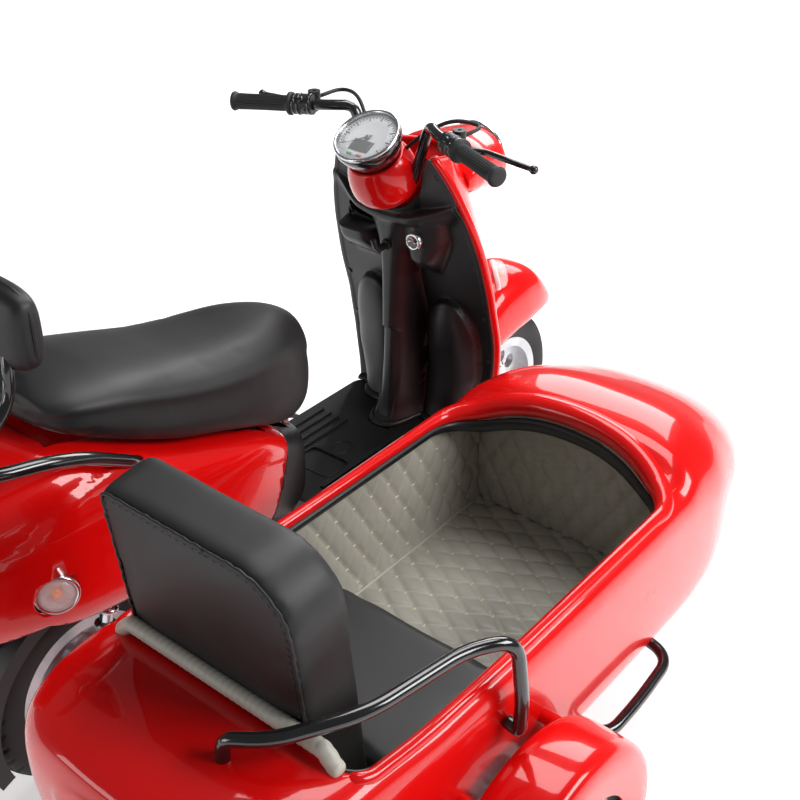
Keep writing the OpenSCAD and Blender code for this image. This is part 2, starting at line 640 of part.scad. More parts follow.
/* Steering body */
fork_y = fork_gap / 2;
bar_tube = 11;
leg_r = 13;
module fork() color(silver) {
  column() difference() {
    union() {
      translate([0, 0, yoke_h])
        cylinder(r = 17, h = clamp_h - yoke_h);
      translate([-20, -fork_y - 12, yoke_h])
        cube([40 + axle_off, 2 * fork_y + 24, 26]);
      mirrored() {
        translate([axle_off, fork_y, axle_up + 120])
          cylinder(r = leg_r - 2, h = yoke_h - axle_up - 100);
        translate([axle_off, fork_y, axle_up - 24])
          cylinder(r = leg_r, h = 150);
      }
      translate([0, 0, clamp_h - 30])
        cylinder(r = 24, h = 62);
    }
    translate([axle_off, 0, axle_up])
      rotate([90, 0, 0])
        cylinder(r = axle_r + run_gap, h = 2 * fork_gap, center = true);
    translate([0, 0, clamp_h + bar_tube + 4])
      rotate([90, 0, 0])
        cylinder(r = bar_tube + eps, h = 100, center = true);
  }
}
guard_r = tyre_r + 16;
// Front mudguard rows: [x from the axle, half width, bottom, widest height, top, low, high power]
guard_table = [
  [-214, 34, 292, 320, 352, 2.4, 2.2], [-190, 80, 296, 350, 410, 2.4, 2.4], [-130, 86, 330, 400, 490, 2.6, 2.6],
  [-60, 90, 362, 430, 534, 2.8, 2.6], [10, 92, 378, 440, 545, 2.8, 2.6], [70, 88, 386, 440, 530, 2.8, 2.6],
  [120, 78, 388, 430, 486, 2.6, 2.4], [156, 60, 380, 412, 436, 2.4, 2.2], [172, 34, 376, 396, 410, 2.2, 2.2]];
guard_rows = [for (r = guard_table) [r[0] + wheelbase, r[1], r[2] + tyre_r - 205, r[3] + tyre_r - 205,
  r[4] + tyre_r - 205, r[5], r[6]]];
module front_mudguard() color(red) difference() {
  lofted(guard_rows);
  lofted([for (r = guard_rows) [r[0], r[1] - 4, r[2] - 60, r[3], r[4] - 4, r[5], r[6]]], 0, 4);
  wheel_axis(wheelbase, 0) translate([0, 0, -tyre_w / 2 - 12])
    cylinder(r = tyre_r + 12, h = tyre_w + 24, $fn = 2 * hull_fn);
  column() translate([0, 0, yoke_h])
    cylinder(r = 17 + eps, h = 300, $fn = hull_fn);
}
clamp = on_axis(0, 0, clamp_h + bar_tube + 4);
grip_in = [clamp[0] - 46, bar_span / 2 - 128, bar_h];
grip_out = [grip_in[0] - 50, bar_span / 2, bar_h - 8];
bar_dir = unit(grip_in - grip_out);
bar_bend = grip_in + 80 * bar_dir;
riser_top = [clamp[0] + 14, 96, bar_h + 6];
function flip(p) = [p[0], -p[1], p[2]];
module handlebar() color(black) {
  right = [grip_out + 8 * bar_dir, bar_bend, riser_top, [clamp[0], 60, clamp[2]]];
  tube(concat([for (p = right) flip(p)], [for (k = [3:-1:0]) right[k]]), bar_tube, 34);
}
module grips() color(rubber) mirrored() difference() {
  union() {
    between(grip_in, grip_out, grip_d / 2);
    between(grip_in, grip_in + 0.08 * (grip_out - grip_in), grip_d / 2 + 7);
    between(grip_in + 0.93 * (grip_out - grip_in), grip_out, grip_d / 2 + 3);
  }
  between(grip_in - (grip_out - grip_in), grip_out - 0.04 * (grip_out - grip_in), bar_tube + eps);
}
perch = grip_in + 27 * bar_dir;
perch_top = [perch[0] + 26, perch[1], perch[2] + 8];
module lever_perches() color(black) mirrored() difference() {
  union() {
    between(grip_in + eps * bar_dir, grip_in + 44 * bar_dir, 21);
    translate(perch_top + [0, 0, -16])
      cylinder(r = 13, h = 30);
    translate([perch[0], perch[1] - 12, perch[2] - 10])
      cube([30, 24, 18]);
  }
  between(grip_in - 20 * bar_dir, grip_in + 90 * bar_dir, bar_tube + eps);
  translate(perch_top + [0, 0, -6])
    cylinder(r = 4, h = 40);
}
lever_root = [perch_top[0] + 4, perch_top[1], perch_top[2] - 25 - eps];
lever_tip = [grip_out[0] + 98, grip_out[1] + 10, grip_out[2] - 12];
module brake_levers() color(black) mirrored() {
  hull() {
    translate(lever_root) sphere(7, $fn = 16);
    translate(lever_root + [26, 34, -4]) sphere(7, $fn = 16);
  }
  hull() {
    translate(lever_root + [26, 34, -4]) sphere(7, $fn = 16);
    translate(lever_tip) sphere(6, $fn = 16);
  }
  translate(lever_tip)
    sphere(9);
}
pod_r = 70;
pod_h = bowl_top - 6;
module gauge_pod() color(black) column() {
  rotate_extrude() difference() {
    union() {
      translate([0, pod_h]) square([50, 46]);
      translate([0, pod_h + 22]) square([64, 24]);
      translate([0, pod_h + 44]) square([pod_r, 20]);
    }
    translate([0, pod_h + 52]) square([pod_r - 7, 30]);
  }
}
module gauge_glass() color(silver) column()
  translate([0, 0, pod_h + 52 + eps])
    cylinder(r = pod_r - 7 - eps, h = 9);
// Hoses end square on the bowl in front of the risers
hose_rise = 54;
hose_h = bowl_h + hose_rise;
hose_r = bowl_at(hose_h, 0) * cos(45);
hose_n = unit([bowl_at(hose_h, 0) / pow(bowl_r, 2), hose_rise / pow(bowl_high, 2)]);
function hose_at(s, d) = on_axis(hose_r + d * hose_n[0] * cos(45), s * (hose_r + d * hose_n[0] * cos(45)), hose_h + d * hose_n[1]);
module brake_hoses() color(rubber)
  for (s = [-1, 1])
    tube([[perch_top[0] + 13 + eps, s * perch_top[1], perch_top[2] - 2], [perch_top[0] + 84, s * perch_top[1], perch_top[2] - 2],
      hose_at(s, 60) + [26, s * 40, 24], hose_at(s, 44), hose_at(s, eps)], 4, 50, 8);

/* Sidecar frame */
rails_z = 186;
rail_ys = [-tub_offset + 150, -tub_offset - 150];
cross_xs = [-60, 200, 560, 880];
frame_r = frame_tube_d / 2;
module sidecar_rails() color(black)
  for (y = rail_ys)
    between([-180, y, rails_z], [1010, y, rails_z], frame_r);
pad_r = 20;
module sidecar_crossbars() color(black) difference() {
  union() {
    for (x = cross_xs)
      between([x, rail_ys[0], rails_z], [x, rail_ys[1], rails_z], frame_r - 3);
    for (x = [cross_xs[1], cross_xs[2]], s = [-1, 1])
      translate([x, s * 80 - tub_offset, rails_z])
        cylinder(r = pad_r, h = 60);
  }
  for (y = rail_ys)
    between([-300, y, rails_z], [1200, y, rails_z], frame_r + eps);
  translate([0, -tub_offset, 0])
    lofted(tub_rows, -eps);
}
// Hitch rows: [point on the scooter's rail, end on the sidecar's rail]
hitch_rows = [
  [[840, -rail_y, rail_z - 2], [860, rail_ys[0], rails_z]],
  [[488, -rail_y, rail_z - 2], [480, rail_ys[0], rails_z]],
  [flip(rail_at(0.18)), [290, rail_ys[0], rails_z]]];
function rail_at(t) = [430, rail_y, rail_z] + t * (seat_top - [430, rail_y, rail_z]);
module hitch_struts() color(black) difference() {
  for (r = hitch_rows) {
    between(r[0], r[1], 12);
    between(r[0], r[0] + 46 * unit(r[1] - r[0]), 15);
    between(r[1] - 48 * unit(r[1] - r[0]), r[1], 16);
  }
  between([-300, rail_ys[0], rails_z], [1200, rail_ys[0], rails_z], frame_r + eps);
  between([1000, -rail_y, rail_z], [450, -rail_y, rail_z], rail_r + eps);
  between(flip(rail_at(0.01)), flip(rail_at(0.6)), rail_r + eps);
  between(flip(pivot + [0, rail_y + 13, 0]), flip([400, rail_y + 2, 294]), 13 + eps);
  translate([200, -rail_y, 200])
    cube([700, 150, 400]);
}
module sidecar_axle() color(black) difference() {
  union() {
    between([wheel_lead, rail_ys[1] - 40, tyre_r], [wheel_lead, -track - 46, tyre_r], axle_r);
    between([wheel_lead, rail_ys[1], tyre_r], [wheel_lead, -track + 46, tyre_r], 22);
  }
  between([-300, rail_ys[1], rails_z], [1200, rail_ys[1], rails_z], frame_r + eps);
}
module sidecar_mudguard() color(red) difference() {
  union() {
    wheel_axis(wheel_lead, -track)
      rotate([0, 0, 180])
        rotate_extrude(angle = 180) {
          translate([guard_r + 8, -56])
            square([6, 112]);
          translate([guard_r - 70, -61])
            square([84, 6]);
          translate([guard_r - 30, 55])
            square([44, 6]);
        }
    for (s = [-1, 1])
      between([wheel_lead + s * 108, -track + 57, tyre_r + 186], [wheel_lead + s * 108, -tub_offset - 100, tyre_r + 186], 13);
  }
  translate([0, -tub_offset, 0])
    lofted(tub_rows, -eps);
}

/* Sidecar tub */
tub_half = tub_w / 2;
dz = rim_h - 560;
lz = tub_floor - 228;
// Tub rows: [x, half width as a share, bottom, widest height, top, low, high power]
tub_table = [
  [-336, 0.40, 420, 500, 556, 2.4, 2.4], [-322, 0.66, 372, 495, 580, 2.6, 3], [-280, 0.86, 320, 490, 594, 3, 4],
  [-200, 0.97, 270, 480, 598, 3.6, 5], [-110, 1.00, 246, 470, 590, 4.6, 6], [60, 1.00, 234, 460, 566, 6, 6],
  [320, 1.00, 228, 450, 560, 8, 6], [620, 1.00, 226, 450, 560, 8, 6], [750, 0.995, 224, 450, 566, 8, 5],
  [815, 0.99, 223, 450, 600, 8, 3.6], [880, 0.98, 224, 445, 606, 7, 3], [990, 0.905, 230, 425, 580, 6, 2.6],
  [1100, 0.75, 252, 400, 530, 4, 2.4], [1190, 0.54, 288, 380, 470, 2.8, 2.2], [1250, 0.31, 322, 366, 418, 2.2, 2],
  [1276, 0.10, 346, 360, 376, 2, 2]];
tub_rows = [for (r = tub_table) [r[0], r[1] * tub_half, r[2] + lz, r[3], r[4] + dz, r[5], r[6]]];
open_half = tub_half - 30;
open_back = -116;
open_front = 806;
module cockpit_hole(low)
  translate([0, 0, low])
    linear_extrude(900)
      hull() {
        for (s = [-1, 1])
          translate([open_back + 46, s * (open_half - 46)]) circle(46, $fn = hull_fn);
        translate([open_front - 120, 0]) scale([0.5, 1]) circle(open_half, $fn = 2 * hull_fn);
      }
module sidecar_tub() translate([0, -tub_offset, 0]) color(red) difference() {
  lofted(tub_rows);
  lofted(tub_rows, tub_t, tub_t);
  cockpit_hole(440);
}
deck_z = tub_floor + 40;
lining_top = rim_h - 34;
module cockpit_lining() translate([0, -tub_offset, 0]) color(beige) difference() {
  union() {
    intersection() {
      lofted(tub_rows, tub_t + eps, tub_t);
      translate([open_back + 3, -400, 0])
        cube([open_front - open_back + 40, 800, lining_top]);
    }
    intersection() {
      translate([open_back + 3, -open_half, deck_z])
        cube([lining_t, 2 * open_half, rim_h + 26 - deck_z]);
      union() {
        lofted(tub_rows, tub_t + eps);
        translate([open_back, -open_half + 54, lining_top - 20])
          cube([lining_t + 10, 2 * open_half - 108, 200]);
      }
    }
  }
  intersection() {
    lofted(tub_rows, tub_t + lining_t);
    translate([open_back + 3 + lining_t, -400, deck_z])
      cube([open_front - open_back + 16, 800, 900]);
  }
}
seat_z = 398;
// Cushion rows: [x, half width, bottom, widest height, top, low, high power]
cushion_rows = [
  [50, 176, deck_z + 20, 360, seat_z - 14, 3, 4], [54, 190, deck_z + 8, 366, seat_z - 4, 3, 5], [64, 198, deck_z + eps, 370, seat_z, 3, 6],
  [120, 200, deck_z + eps, 370, seat_z, 3, 6], [180, 200, deck_z + eps, 370, seat_z, 3, 6], [240, 200, deck_z + eps, 370, seat_z, 3, 6],
  [324, 200, deck_z + eps, 370, seat_z, 3, 6], [336, 194, deck_z + 6, 366, seat_z - 5, 3, 5], [344, 178, deck_z + 20, 360, seat_z - 18, 3, 4]];
module sidecar_cushion() translate([0, -tub_offset, 0]) color(black)
  lofted(cushion_rows);
// Backrest corners from the left round to the right: [y, height, corner radius]
back_lean = 0.105;
back_t = 108;
back_foot = 44;
back_corners = [[226, deck_z + eps, 130], [226, back_h, 26], [-156, back_h, 96], [-156, deck_z + eps, 70]];
arc_n = 6;
function corner_arc(k, grow) = let (c = back_corners[k], sy = k < 2 ? 1 : -1, sz = k == 1 || k == 2 ? 1 : -1, r = c[2])
  [for (i = [0:arc_n]) let (w = (k % 2 == 0 ? i : arc_n - i) * 90 / arc_n)
    [c[0] - sy * r + sy * (r + grow) * cos(w), c[1] - sz * r + sz * (r + grow) * sin(w)]];
// Slices through its thickness: [share, inset of the outline]
back_slices = [[0, 14], [0.03, 8], [0.08, 4], [0.2, 1.5], [0.4, 0], [0.6, 0], [0.8, 0.5], [0.92, 3], [0.97, 6], [1, 12]];
function back_ring(c) = [for (k = [0:3]) each [for (p = corner_arc(k, -c[1]))
  [back_foot - (p[1] - deck_z) * back_lean - back_t + c[0] * back_t, p[0] - (p[0] > 0 ? 1 : 0) * 16 * (1 - c[0]) - tub_offset, max(p[1], deck_z + eps)]]];
module sidecar_backrest() color(black)
  for (i = [0:len(back_slices) - 2])
    between_rings(back_ring(back_slices[i]), back_ring(back_slices[i + 1]));
function tub_col(c) = [for (r = tub_rows) [r[0], r[c]]];
// Outer half width of the tub at a place on its side, above its widest height
function tub_y(x, z) = let (a = lookup(x, tub_col(1)), c = lookup(x, tub_col(3)), t = lookup(x, tub_col(4)),
  e = lookup(x, tub_col(6))) a * pow(max(0, 1 - pow(max(0, z - c) / (t - c), e)), 1 / e);
function beside(x, z, gap) = [x, -tub_offset - tub_y(x, z) - gap, z];
module tub_solid() translate([0, -tub_offset, 0])
  lofted(tub_rows, -eps);
module hand_rail() color(black) difference() {
  tube([beside(190, 470, -40), beside(190, 462, 26), beside(192, 520, 30), [186, -836, 640], [120, -796, 646], [-60, -768, 650],
    [-170, -700, 646], [-196, -640, 630], [-200, -640, 560]], rail_r2, 46);
  tub_solid();
}
module nose_bar() color(black) difference() {
  tube([[690, -740, 262], [690, -850, 242], [560, -858, 236], [450, -858, 236], [440, -740, 262]], rail_r2, 44);
  tub_solid();
}

module placed() translate([-origin_x, -origin_y, 0]) children();
placed() scooter_frame();
placed() battery_pack();
placed() floorboard();
placed() leg_shield();
placed() inner_shield();
placed() bag_hook();
placed() key_switch();
placed() steering_bowl();
placed() headlamp_cowl();
placed() headlamp();
placed() front_indicators();
placed() column_cover();
placed() tail_body();
placed() underseat_tray();
placed() saddle_bracket();
placed() tail_lamp();
placed() rear_indicators();
placed() grab_rail();
placed() pillion_pad();
placed() rear_mudguard();
placed() swing_arm();
placed() rear_shocks();
placed() rear_axle();
placed() rear_rim();
placed() rear_tyre();
placed() saddle_pan();
placed() saddle();
placed() fork();
placed() front_axle();
placed() front_mudguard();
placed() handlebar();
placed() grips();
placed() lever_perches();
placed() brake_levers();
placed() gauge_pod();
placed() gauge_glass();
placed() brake_hoses();
placed() front_rim();
placed() front_tyre();
placed() sidecar_rails();
placed() sidecar_crossbars();
placed() hitch_struts();
placed() sidecar_axle();
placed() sidecar_mudguard();
placed() sidecar_tub();
placed() cockpit_lining();
placed() sidecar_cushion();
placed() sidecar_backrest();
placed() hand_rail();
placed() nose_bar();
placed() sidecar_rim();
placed() sidecar_tyre();
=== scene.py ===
import math
import bpy
import numpy as np
from mathutils import Matrix, Vector


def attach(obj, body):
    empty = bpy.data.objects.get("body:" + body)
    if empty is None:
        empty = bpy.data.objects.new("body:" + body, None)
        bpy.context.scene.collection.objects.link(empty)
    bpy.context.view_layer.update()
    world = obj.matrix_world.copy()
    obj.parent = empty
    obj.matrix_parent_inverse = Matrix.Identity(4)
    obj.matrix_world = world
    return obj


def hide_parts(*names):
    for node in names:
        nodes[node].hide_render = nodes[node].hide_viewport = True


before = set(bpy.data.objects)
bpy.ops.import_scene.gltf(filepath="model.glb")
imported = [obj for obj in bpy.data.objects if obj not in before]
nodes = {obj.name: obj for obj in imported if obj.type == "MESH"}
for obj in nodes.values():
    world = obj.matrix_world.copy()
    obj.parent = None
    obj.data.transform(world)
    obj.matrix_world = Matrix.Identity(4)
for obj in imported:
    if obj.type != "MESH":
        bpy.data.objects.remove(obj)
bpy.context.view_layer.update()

# Studio: a white light-table floor, a soft light overhead, one in front for
# the tops, one on the sidecar's side and one behind, with the camera behind
# the right shoulder of the outfit, where the photograph was taken.
bpy.ops.object.select_all(action="DESELECT")
yaw, pitch, roll = math.radians(39.38), math.radians(32.07), math.radians(-0.22)
ahead = Vector((math.cos(yaw) * math.cos(pitch), math.sin(yaw) * math.cos(pitch), -math.sin(pitch)))
beside = Vector((math.sin(yaw), -math.cos(yaw), 0))
above = beside.cross(ahead)
across = beside * math.cos(roll) + above * math.sin(roll)
upward = above * math.cos(roll) - beside * math.sin(roll)
bpy.ops.object.camera_add(location=(-1.5055, -1.2235, 1.847))
camera = bpy.context.object
camera.rotation_euler = Matrix((across, upward, -ahead)).transposed().to_euler()
FOCAL_PX, PHOTO_PX, SENSOR = 1238, 800, 36
camera.data.sensor_width = SENSOR
camera.data.lens = FOCAL_PX / PHOTO_PX * SENSOR
camera.data.clip_end = 60
bpy.context.scene.camera = camera
bpy.context.scene.view_settings.view_transform = "Standard"


def soft_light(name, place, aim, size, power):
    bpy.ops.object.light_add(type="AREA", location=place)
    lamp = bpy.context.object
    lamp.name = name
    lamp.data.shape = "RECTANGLE"
    lamp.data.size, lamp.data.size_y = size
    lamp.data.energy = power
    lamp.rotation_euler = (Vector(aim) - Vector(place)).to_track_quat("-Z", "Y").to_euler()


soft_light("light_top", (0.9, 0.1, 3.2), (0.1, 0, 0.4), (1.8, 1.3), 44)
soft_light("light_front", (3.2, 1.0, 2.6), (0.3, -0.2, 0.6), (2.2, 1.7), 74)
soft_light("light_side", (1.1, -2.8, 2.5), (0.1, -0.2, 0.4), (2.2, 1.2), 94)
soft_light("light_back", (-3.2, 1.5, 1.35), (0.2, 0.2, 0.6), (1.6, 1.0), 18)
world = bpy.context.scene.world or bpy.data.worlds.new("studio")
bpy.context.scene.world = world
world.use_nodes = True
world_tree = world.node_tree


def set_inputs(node, **values):
    """Sets a shader node's inputs, their names written with _ for a space."""
    for key, value in values.items():
        node.inputs[key.replace("_", " ")].default_value = value
    return node


def added(tree, kind, **values):
    return set_inputs(tree.nodes.new("ShaderNode" + kind), **values)


back = set_inputs(world_tree.nodes["Background"], Color=(0.97, 0.98, 1.0, 1))
seen = added(world_tree, "LightPath")
level = added(world_tree, "MapRange", To_Min=0.16, To_Max=1.0)
world_tree.links.new(seen.outputs["Is Camera Ray"], level.inputs["Value"])
world_tree.links.new(level.outputs["Result"], back.inputs["Strength"])


def finish(name, dark, light, rough, grain=900.0, bump=0.05, patch=7.0, metal=0.0, coat=0.0, coat_rough=0.04,
           pattern="noise", depth=0.0006, clear=0.0, glow=0.0):
    """A surface finish: two close tones in slow patches, uneven gloss and a fine grain."""
    m = bpy.data.materials.new(name)
    m.use_nodes = True
    tree = m.node_tree
    link = tree.links.new
    face = set_inputs(tree.nodes["Principled BSDF"], Metallic=metal, Coat_Weight=coat,
                      Coat_Roughness=coat_rough, Alpha=1 - clear)
    place = added(tree, "TexCoord").outputs["Object"]
    patches = added(tree, "TexNoise", Scale=patch, Detail=5)
    tone = added(tree, "ValToRGB")
    tone.name = "tone"
    for stop, position, colour in zip(tone.color_ramp.elements, (0.32, 0.68), (dark, light)):
        stop.position, stop.color = position, (*colour, 1)
    gloss = added(tree, "MapRange", From_Min=0.3, From_Max=0.7, To_Min=rough[0], To_Max=rough[1])
    if pattern == "noise":
        fine = added(tree, "TexNoise", Detail=3, Scale=grain)
        height = fine.outputs["Fac"]
    else:
        fine = added(tree, "TexVoronoi", Scale=grain)
        fine.feature = "DISTANCE_TO_EDGE" if pattern == "grain" else "F1"
        height = fine.outputs["Distance"]
    relief = added(tree, "Bump", Strength=bump, Distance=depth)
    link(place, patches.inputs["Vector"])
    link(place, fine.inputs["Vector"])
    link(patches.outputs["Fac"], tone.inputs["Fac"])
    link(patches.outputs["Fac"], gloss.inputs["Value"])
    link(tone.outputs["Color"], face.inputs["Base Color"])
    link(gloss.outputs["Result"], face.inputs["Roughness"])
    link(height, relief.inputs["Height"])
    link(relief.outputs["Normal"], face.inputs["Normal"])
    if glow:
        link(tone.outputs["Color"], face.inputs["Emission Color"])
        set_inputs(face, Emission_Strength=glow)
    return m


def coated(obj, material):
    obj.data.materials.clear()
    obj.data.materials.append(material)


def fitted(obj, material, body, slot, *replaced):
    """Coats a finished piece and says what it rides on and the solids it stands for; slot is not used."""
    coated(obj, material)
    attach(obj, body)
    for part in replaced:
        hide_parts(part)


floor_finish = finish("studio_floor", (0.86, 0.86, 0.86), (0.90, 0.90, 0.90), (0.6, 0.75), 60, 0.02,
                      1.5, glow=0.6)
tree = floor_finish.node_tree
away = added(tree, "VectorMath")
away.operation = "LENGTH"
fade = added(tree, "MapRange", From_Min=1.5, From_Max=6.0, To_Min=0.5, To_Max=1.1)
tree.links.new(tree.nodes["Texture Coordinate"].outputs["Object"], away.inputs[0])
tree.links.new(away.outputs["Value"], fade.inputs["Value"])
tree.links.new(fade.outputs["Result"], tree.nodes["Principled BSDF"].inputs["Emission Strength"])
bpy.ops.mesh.primitive_plane_add(size=24, location=(0, 0, 0))
studio_floor = bpy.context.object
studio_floor.name = "studio_floor"
coated(studio_floor, floor_finish)

# Frame and plain hardware: black powder-coated tube, moulded black plastic and
# bright steel, left as the solids and given their finishes here.
black_steel = finish("black_powder_coat", (0.012, 0.012, 0.013), (0.02, 0.02, 0.021), (0.28, 0.4), 1400,
                     0.12, 12, coat=0.3)
for part in ("scooter_frame", "swing_arm", "sidecar_axle", "sidecar_rails", "sidecar_crossbars",
             "hitch_struts"):
    coated(nodes[part], black_steel)
moulded_black = finish("moulded_black_plastic", (0.009, 0.009, 0.010), (0.015, 0.015, 0.016), (0.36, 0.46),
                       1700, 0.14, 9)
for part in ("battery_pack", "underseat_tray", "rear_mudguard", "lever_perches", "saddle_pan", "floorboard"):
    coated(nodes[part], moulded_black)
bright_steel = finish("bright_steel", (0.62, 0.63, 0.65), (0.74, 0.75, 0.77), (0.12, 0.24), 500, 0.05,
                      20, metal=1.0)
for part in ("front_axle", "rear_axle", "rear_shocks", "saddle_bracket", "fork"):
    coated(nodes[part], bright_steel)

# Wheels: cast aluminium rims with moulded rubber tyres; the road tread has
# three zigzag grooves and cross sipes, modelled once and set on each wheel.
ORIGIN = np.array([589.5, -305.5, 0.0])


def skin(name, P, shut=True):
    """A smooth skin over rows of points given in millimetres from the rear wheel's foot."""
    P = np.asarray(P, float)
    rows, cols = P.shape[:2]
    bpy.ops.object.select_all(action="DESELECT")
    bpy.ops.mesh.primitive_grid_add(x_subdivisions=cols - 1, y_subdivisions=rows - 1, size=2)
    o = bpy.context.object
    o.name = o.data.name = name
    o.data.vertices.foreach_set("co", ((P.reshape(-1, 3) - ORIGIN) / 1000).astype(np.float32).ravel())
    bpy.ops.object.mode_set(mode="EDIT")
    bpy.ops.mesh.select_all(action="SELECT")
    bpy.ops.mesh.remove_doubles(threshold=2e-5)
    if shut:
        bpy.ops.mesh.normals_make_consistent(inside=False)
    bpy.ops.object.mode_set(mode="OBJECT")
    bpy.ops.object.shade_smooth()
    return o


def placed(x, y, z):
    """Points from their three coordinates, any of which may be one value for all."""
    return np.stack(np.broadcast_arrays(x, y, z), axis=-1)


cast_alloy = finish("cast_alloy", (0.50, 0.51, 0.53), (0.66, 0.67, 0.69), (0.3, 0.42), 800, 0.12,
                    25, metal=1.0)
tyre_rubber = finish("tyre_rubber", (0.014, 0.014, 0.015), (0.024, 0.024, 0.025), (0.62, 0.8), 300, 0.25, 14)
WHEELBASE, WHEEL_Z, CROWN_R, SECTION_R = 1310, 205, 163, 42
SIDE_WHEEL = 190, -905
TURNS, ZIGZAGS, BEAD_R, BEAD_Y = 289, 36, 127.4, 28.0


def tyre_points():
    """Rings of one tyre about the origin, with the tread pressed into its crown."""
    turn_w = np.linspace(0, 2 * np.pi, TURNS)[:, None]
    lean_w = np.radians(np.linspace(-126, 126, 61))[None, :]
    wave = np.abs((turn_w * ZIGZAGS / (2 * np.pi)) % 1 - 0.5) * 4 - 1
    over_mm = SECTION_R * lean_w
    groove = np.zeros(np.broadcast_shapes(turn_w.shape, lean_w.shape))
    for middle in (-20, 0, 20):
        groove = np.maximum(groove, np.clip(2.4 - np.abs(over_mm - middle - 4 * wave) * 0.7, 0, 1))
    sipe = np.abs((turn_w * ZIGZAGS / (2 * np.pi) + np.sign(lean_w) * over_mm / 60) % 1 - 0.5)
    shoulder = (np.abs(over_mm) > 22) * (np.abs(over_mm) < 46)
    groove = np.maximum(groove, np.clip((0.12 - sipe) * 14, 0, 1) * shoulder)
    r = SECTION_R - 3.4 * groove
    far, side = CROWN_R + r * np.cos(lean_w), r * np.sin(lean_w)
    foot = np.full((TURNS, 1), BEAD_R)
    far = np.concatenate([foot, far, foot, foot], axis=1)
    bead = np.full((TURNS, 1), BEAD_Y)
    side = np.concatenate([-bead, side, bead, -bead], axis=1)
    return placed(far * np.cos(turn_w), side, far * np.sin(turn_w))


ring = tyre_points()
for side, middle in (("front", (WHEELBASE, 0)), ("rear", (0, 0)), ("sidecar", SIDE_WHEEL)):
    coated(nodes[side + "_rim"], cast_alloy)
    tyre = skin(side + "_tyre_tread", ring + np.array([*middle, WHEEL_Z]))
    fitted(tyre, tyre_rubber, side + "_wheel", "tyre_rubber", side + "_tyre")

# Leg shield: a pressed red apron with a rolled edge, painted in a deep
# gloss and bolted to the head tube; the moulded panel closes its back.
gloss_red = finish("gloss_red_paint", (0.74, 0.003, 0.003), (0.80, 0.004, 0.004), (0.22, 0.28), 260,
                   0.012, 4, coat=0.8)
set_inputs(gloss_red.node_tree.nodes["Principled BSDF"], Specular_IOR_Level=0.12)


def through(knots, values, q):
    """Smooth curve through values at knots, with no overshoot between them."""
    k, f, q = np.asarray(knots, float), np.asarray(values, float), np.asarray(q, float)
    d = np.diff(f) / np.diff(k)
    before, after = d[:-1], d[1:]
    both = np.where(before + after == 0, 1, before + after)
    m = np.concatenate(([d[0]], np.where(before * after > 0, 2 * before * after / both, 0), [d[-1]]))
    i = np.clip(np.searchsorted(k, q) - 1, 0, len(k) - 2)
    h = k[i + 1] - k[i]
    t = np.clip((q - k[i]) / h, 0, 1)
    return ((1 + 2 * t) * (1 - t) ** 2 * f[i] + t * (1 - t) ** 2 * h * m[i]
            + t * t * (3 - 2 * t) * f[i + 1] + t * t * (t - 1) * h * m[i + 1])


def applied(o, kind, **values):
    """One modifier, set and applied."""
    bpy.ops.object.select_all(action="DESELECT")
    bpy.context.view_layer.objects.active = o
    o.select_set(True)
    mod = o.modifiers.new(kind.lower(), kind)
    for key, value in values.items():
        setattr(mod, key, value)
    bpy.ops.object.modifier_apply(modifier=mod.name)
    return o


def joined(name, pieces):
    bpy.ops.object.select_all(action="DESELECT")
    for p in pieces:
        p.select_set(True)
    bpy.context.view_layer.objects.active = pieces[0]
    if len(pieces) > 1:
        bpy.ops.object.join()
    o = bpy.context.view_layer.objects.active
    o.name = o.data.name = name
    return o


def pipe(name, points, r, sides=20, end_round=True):
    """A round bar along a line of points, with closed ends."""
    p = np.asarray(points, float)
    t = np.gradient(p, axis=0)
    t /= np.linalg.norm(t, axis=1)[:, None]
    a = np.cross(t[0], [0, 0, 1.0] if abs(t[0][2]) < 0.9 else [1.0, 0, 0])
    r = np.broadcast_to(np.asarray(r, float), (len(p),))
    w = np.linspace(0, 2 * np.pi, sides + 1)
    rings = []
    for i in range(len(p)):
        a = a - t[i] * (a @ t[i])
        a /= np.linalg.norm(a)
        b = np.cross(t[i], a)
        rings.append(p[i] + r[i] * (np.cos(w)[:, None] * a + np.sin(w)[:, None] * b))
        if i in (0, len(p) - 1):
            out = -1 if i == 0 else 1
            cap = [p[i] + out * t[i] * r[i] * (0.35 * (1 - s * s) ** 0.5 if end_round else 0)
                   + s * (rings[-1] - p[i]) for s in ((0.0, 0.5, 0.85) if i == 0 else (0.85, 0.5, 0.0))]
            rings = cap + rings if i == 0 else rings + cap
    return skin(name, rings)


def bent(points, radius, steps=10):
    """Corner points rounded as a tube is bent."""
    p = [np.asarray(q, float) for q in points]
    line = [p[0]]
    for a, b, c in zip(p, p[1:], p[2:]):
        h = min(radius, np.linalg.norm(a - b) * 0.48, np.linalg.norm(c - b) * 0.48)
        u, v = (a - b) / np.linalg.norm(a - b), (c - b) / np.linalg.norm(c - b)
        line += [b + u * h * (1 - s) ** 2 + v * h * s * s for s in np.linspace(0, 1, steps)]
    return np.array(line + [p[-1]])


SHIELD_HALF = 208
shield_rows = np.array([
    [300, 0.80, 1012, 36], [360, 0.90, 1030, 42], [430, 0.97, 1036, 56], [520, 1.00, 1028, 96],
    [620, 1.00, 1004, 140], [720, 0.97, 980, 146], [800, 0.90, 958, 150], [865, 0.80, 940, 152],
    [900, 0.735, 930, 150], [930, 0.665, 920, 146], [960, 0.585, 908, 138]])


def edge_half(z):
    return through(shield_rows[:, 0], shield_rows[:, 1] * SHIELD_HALF, z)


def edge_x(z):
    return through(shield_rows[:, 0], shield_rows[:, 2], z)


def apron_rim(u):
    return 960 - 38 * (1 - np.abs(u) ** 3)


def apron_at(u, z):
    x = edge_x(z) + through(shield_rows[:, 0], shield_rows[:, 3], z) * (1 - np.abs(u) ** 2.2)
    return placed(x, u * edge_half(z), z)


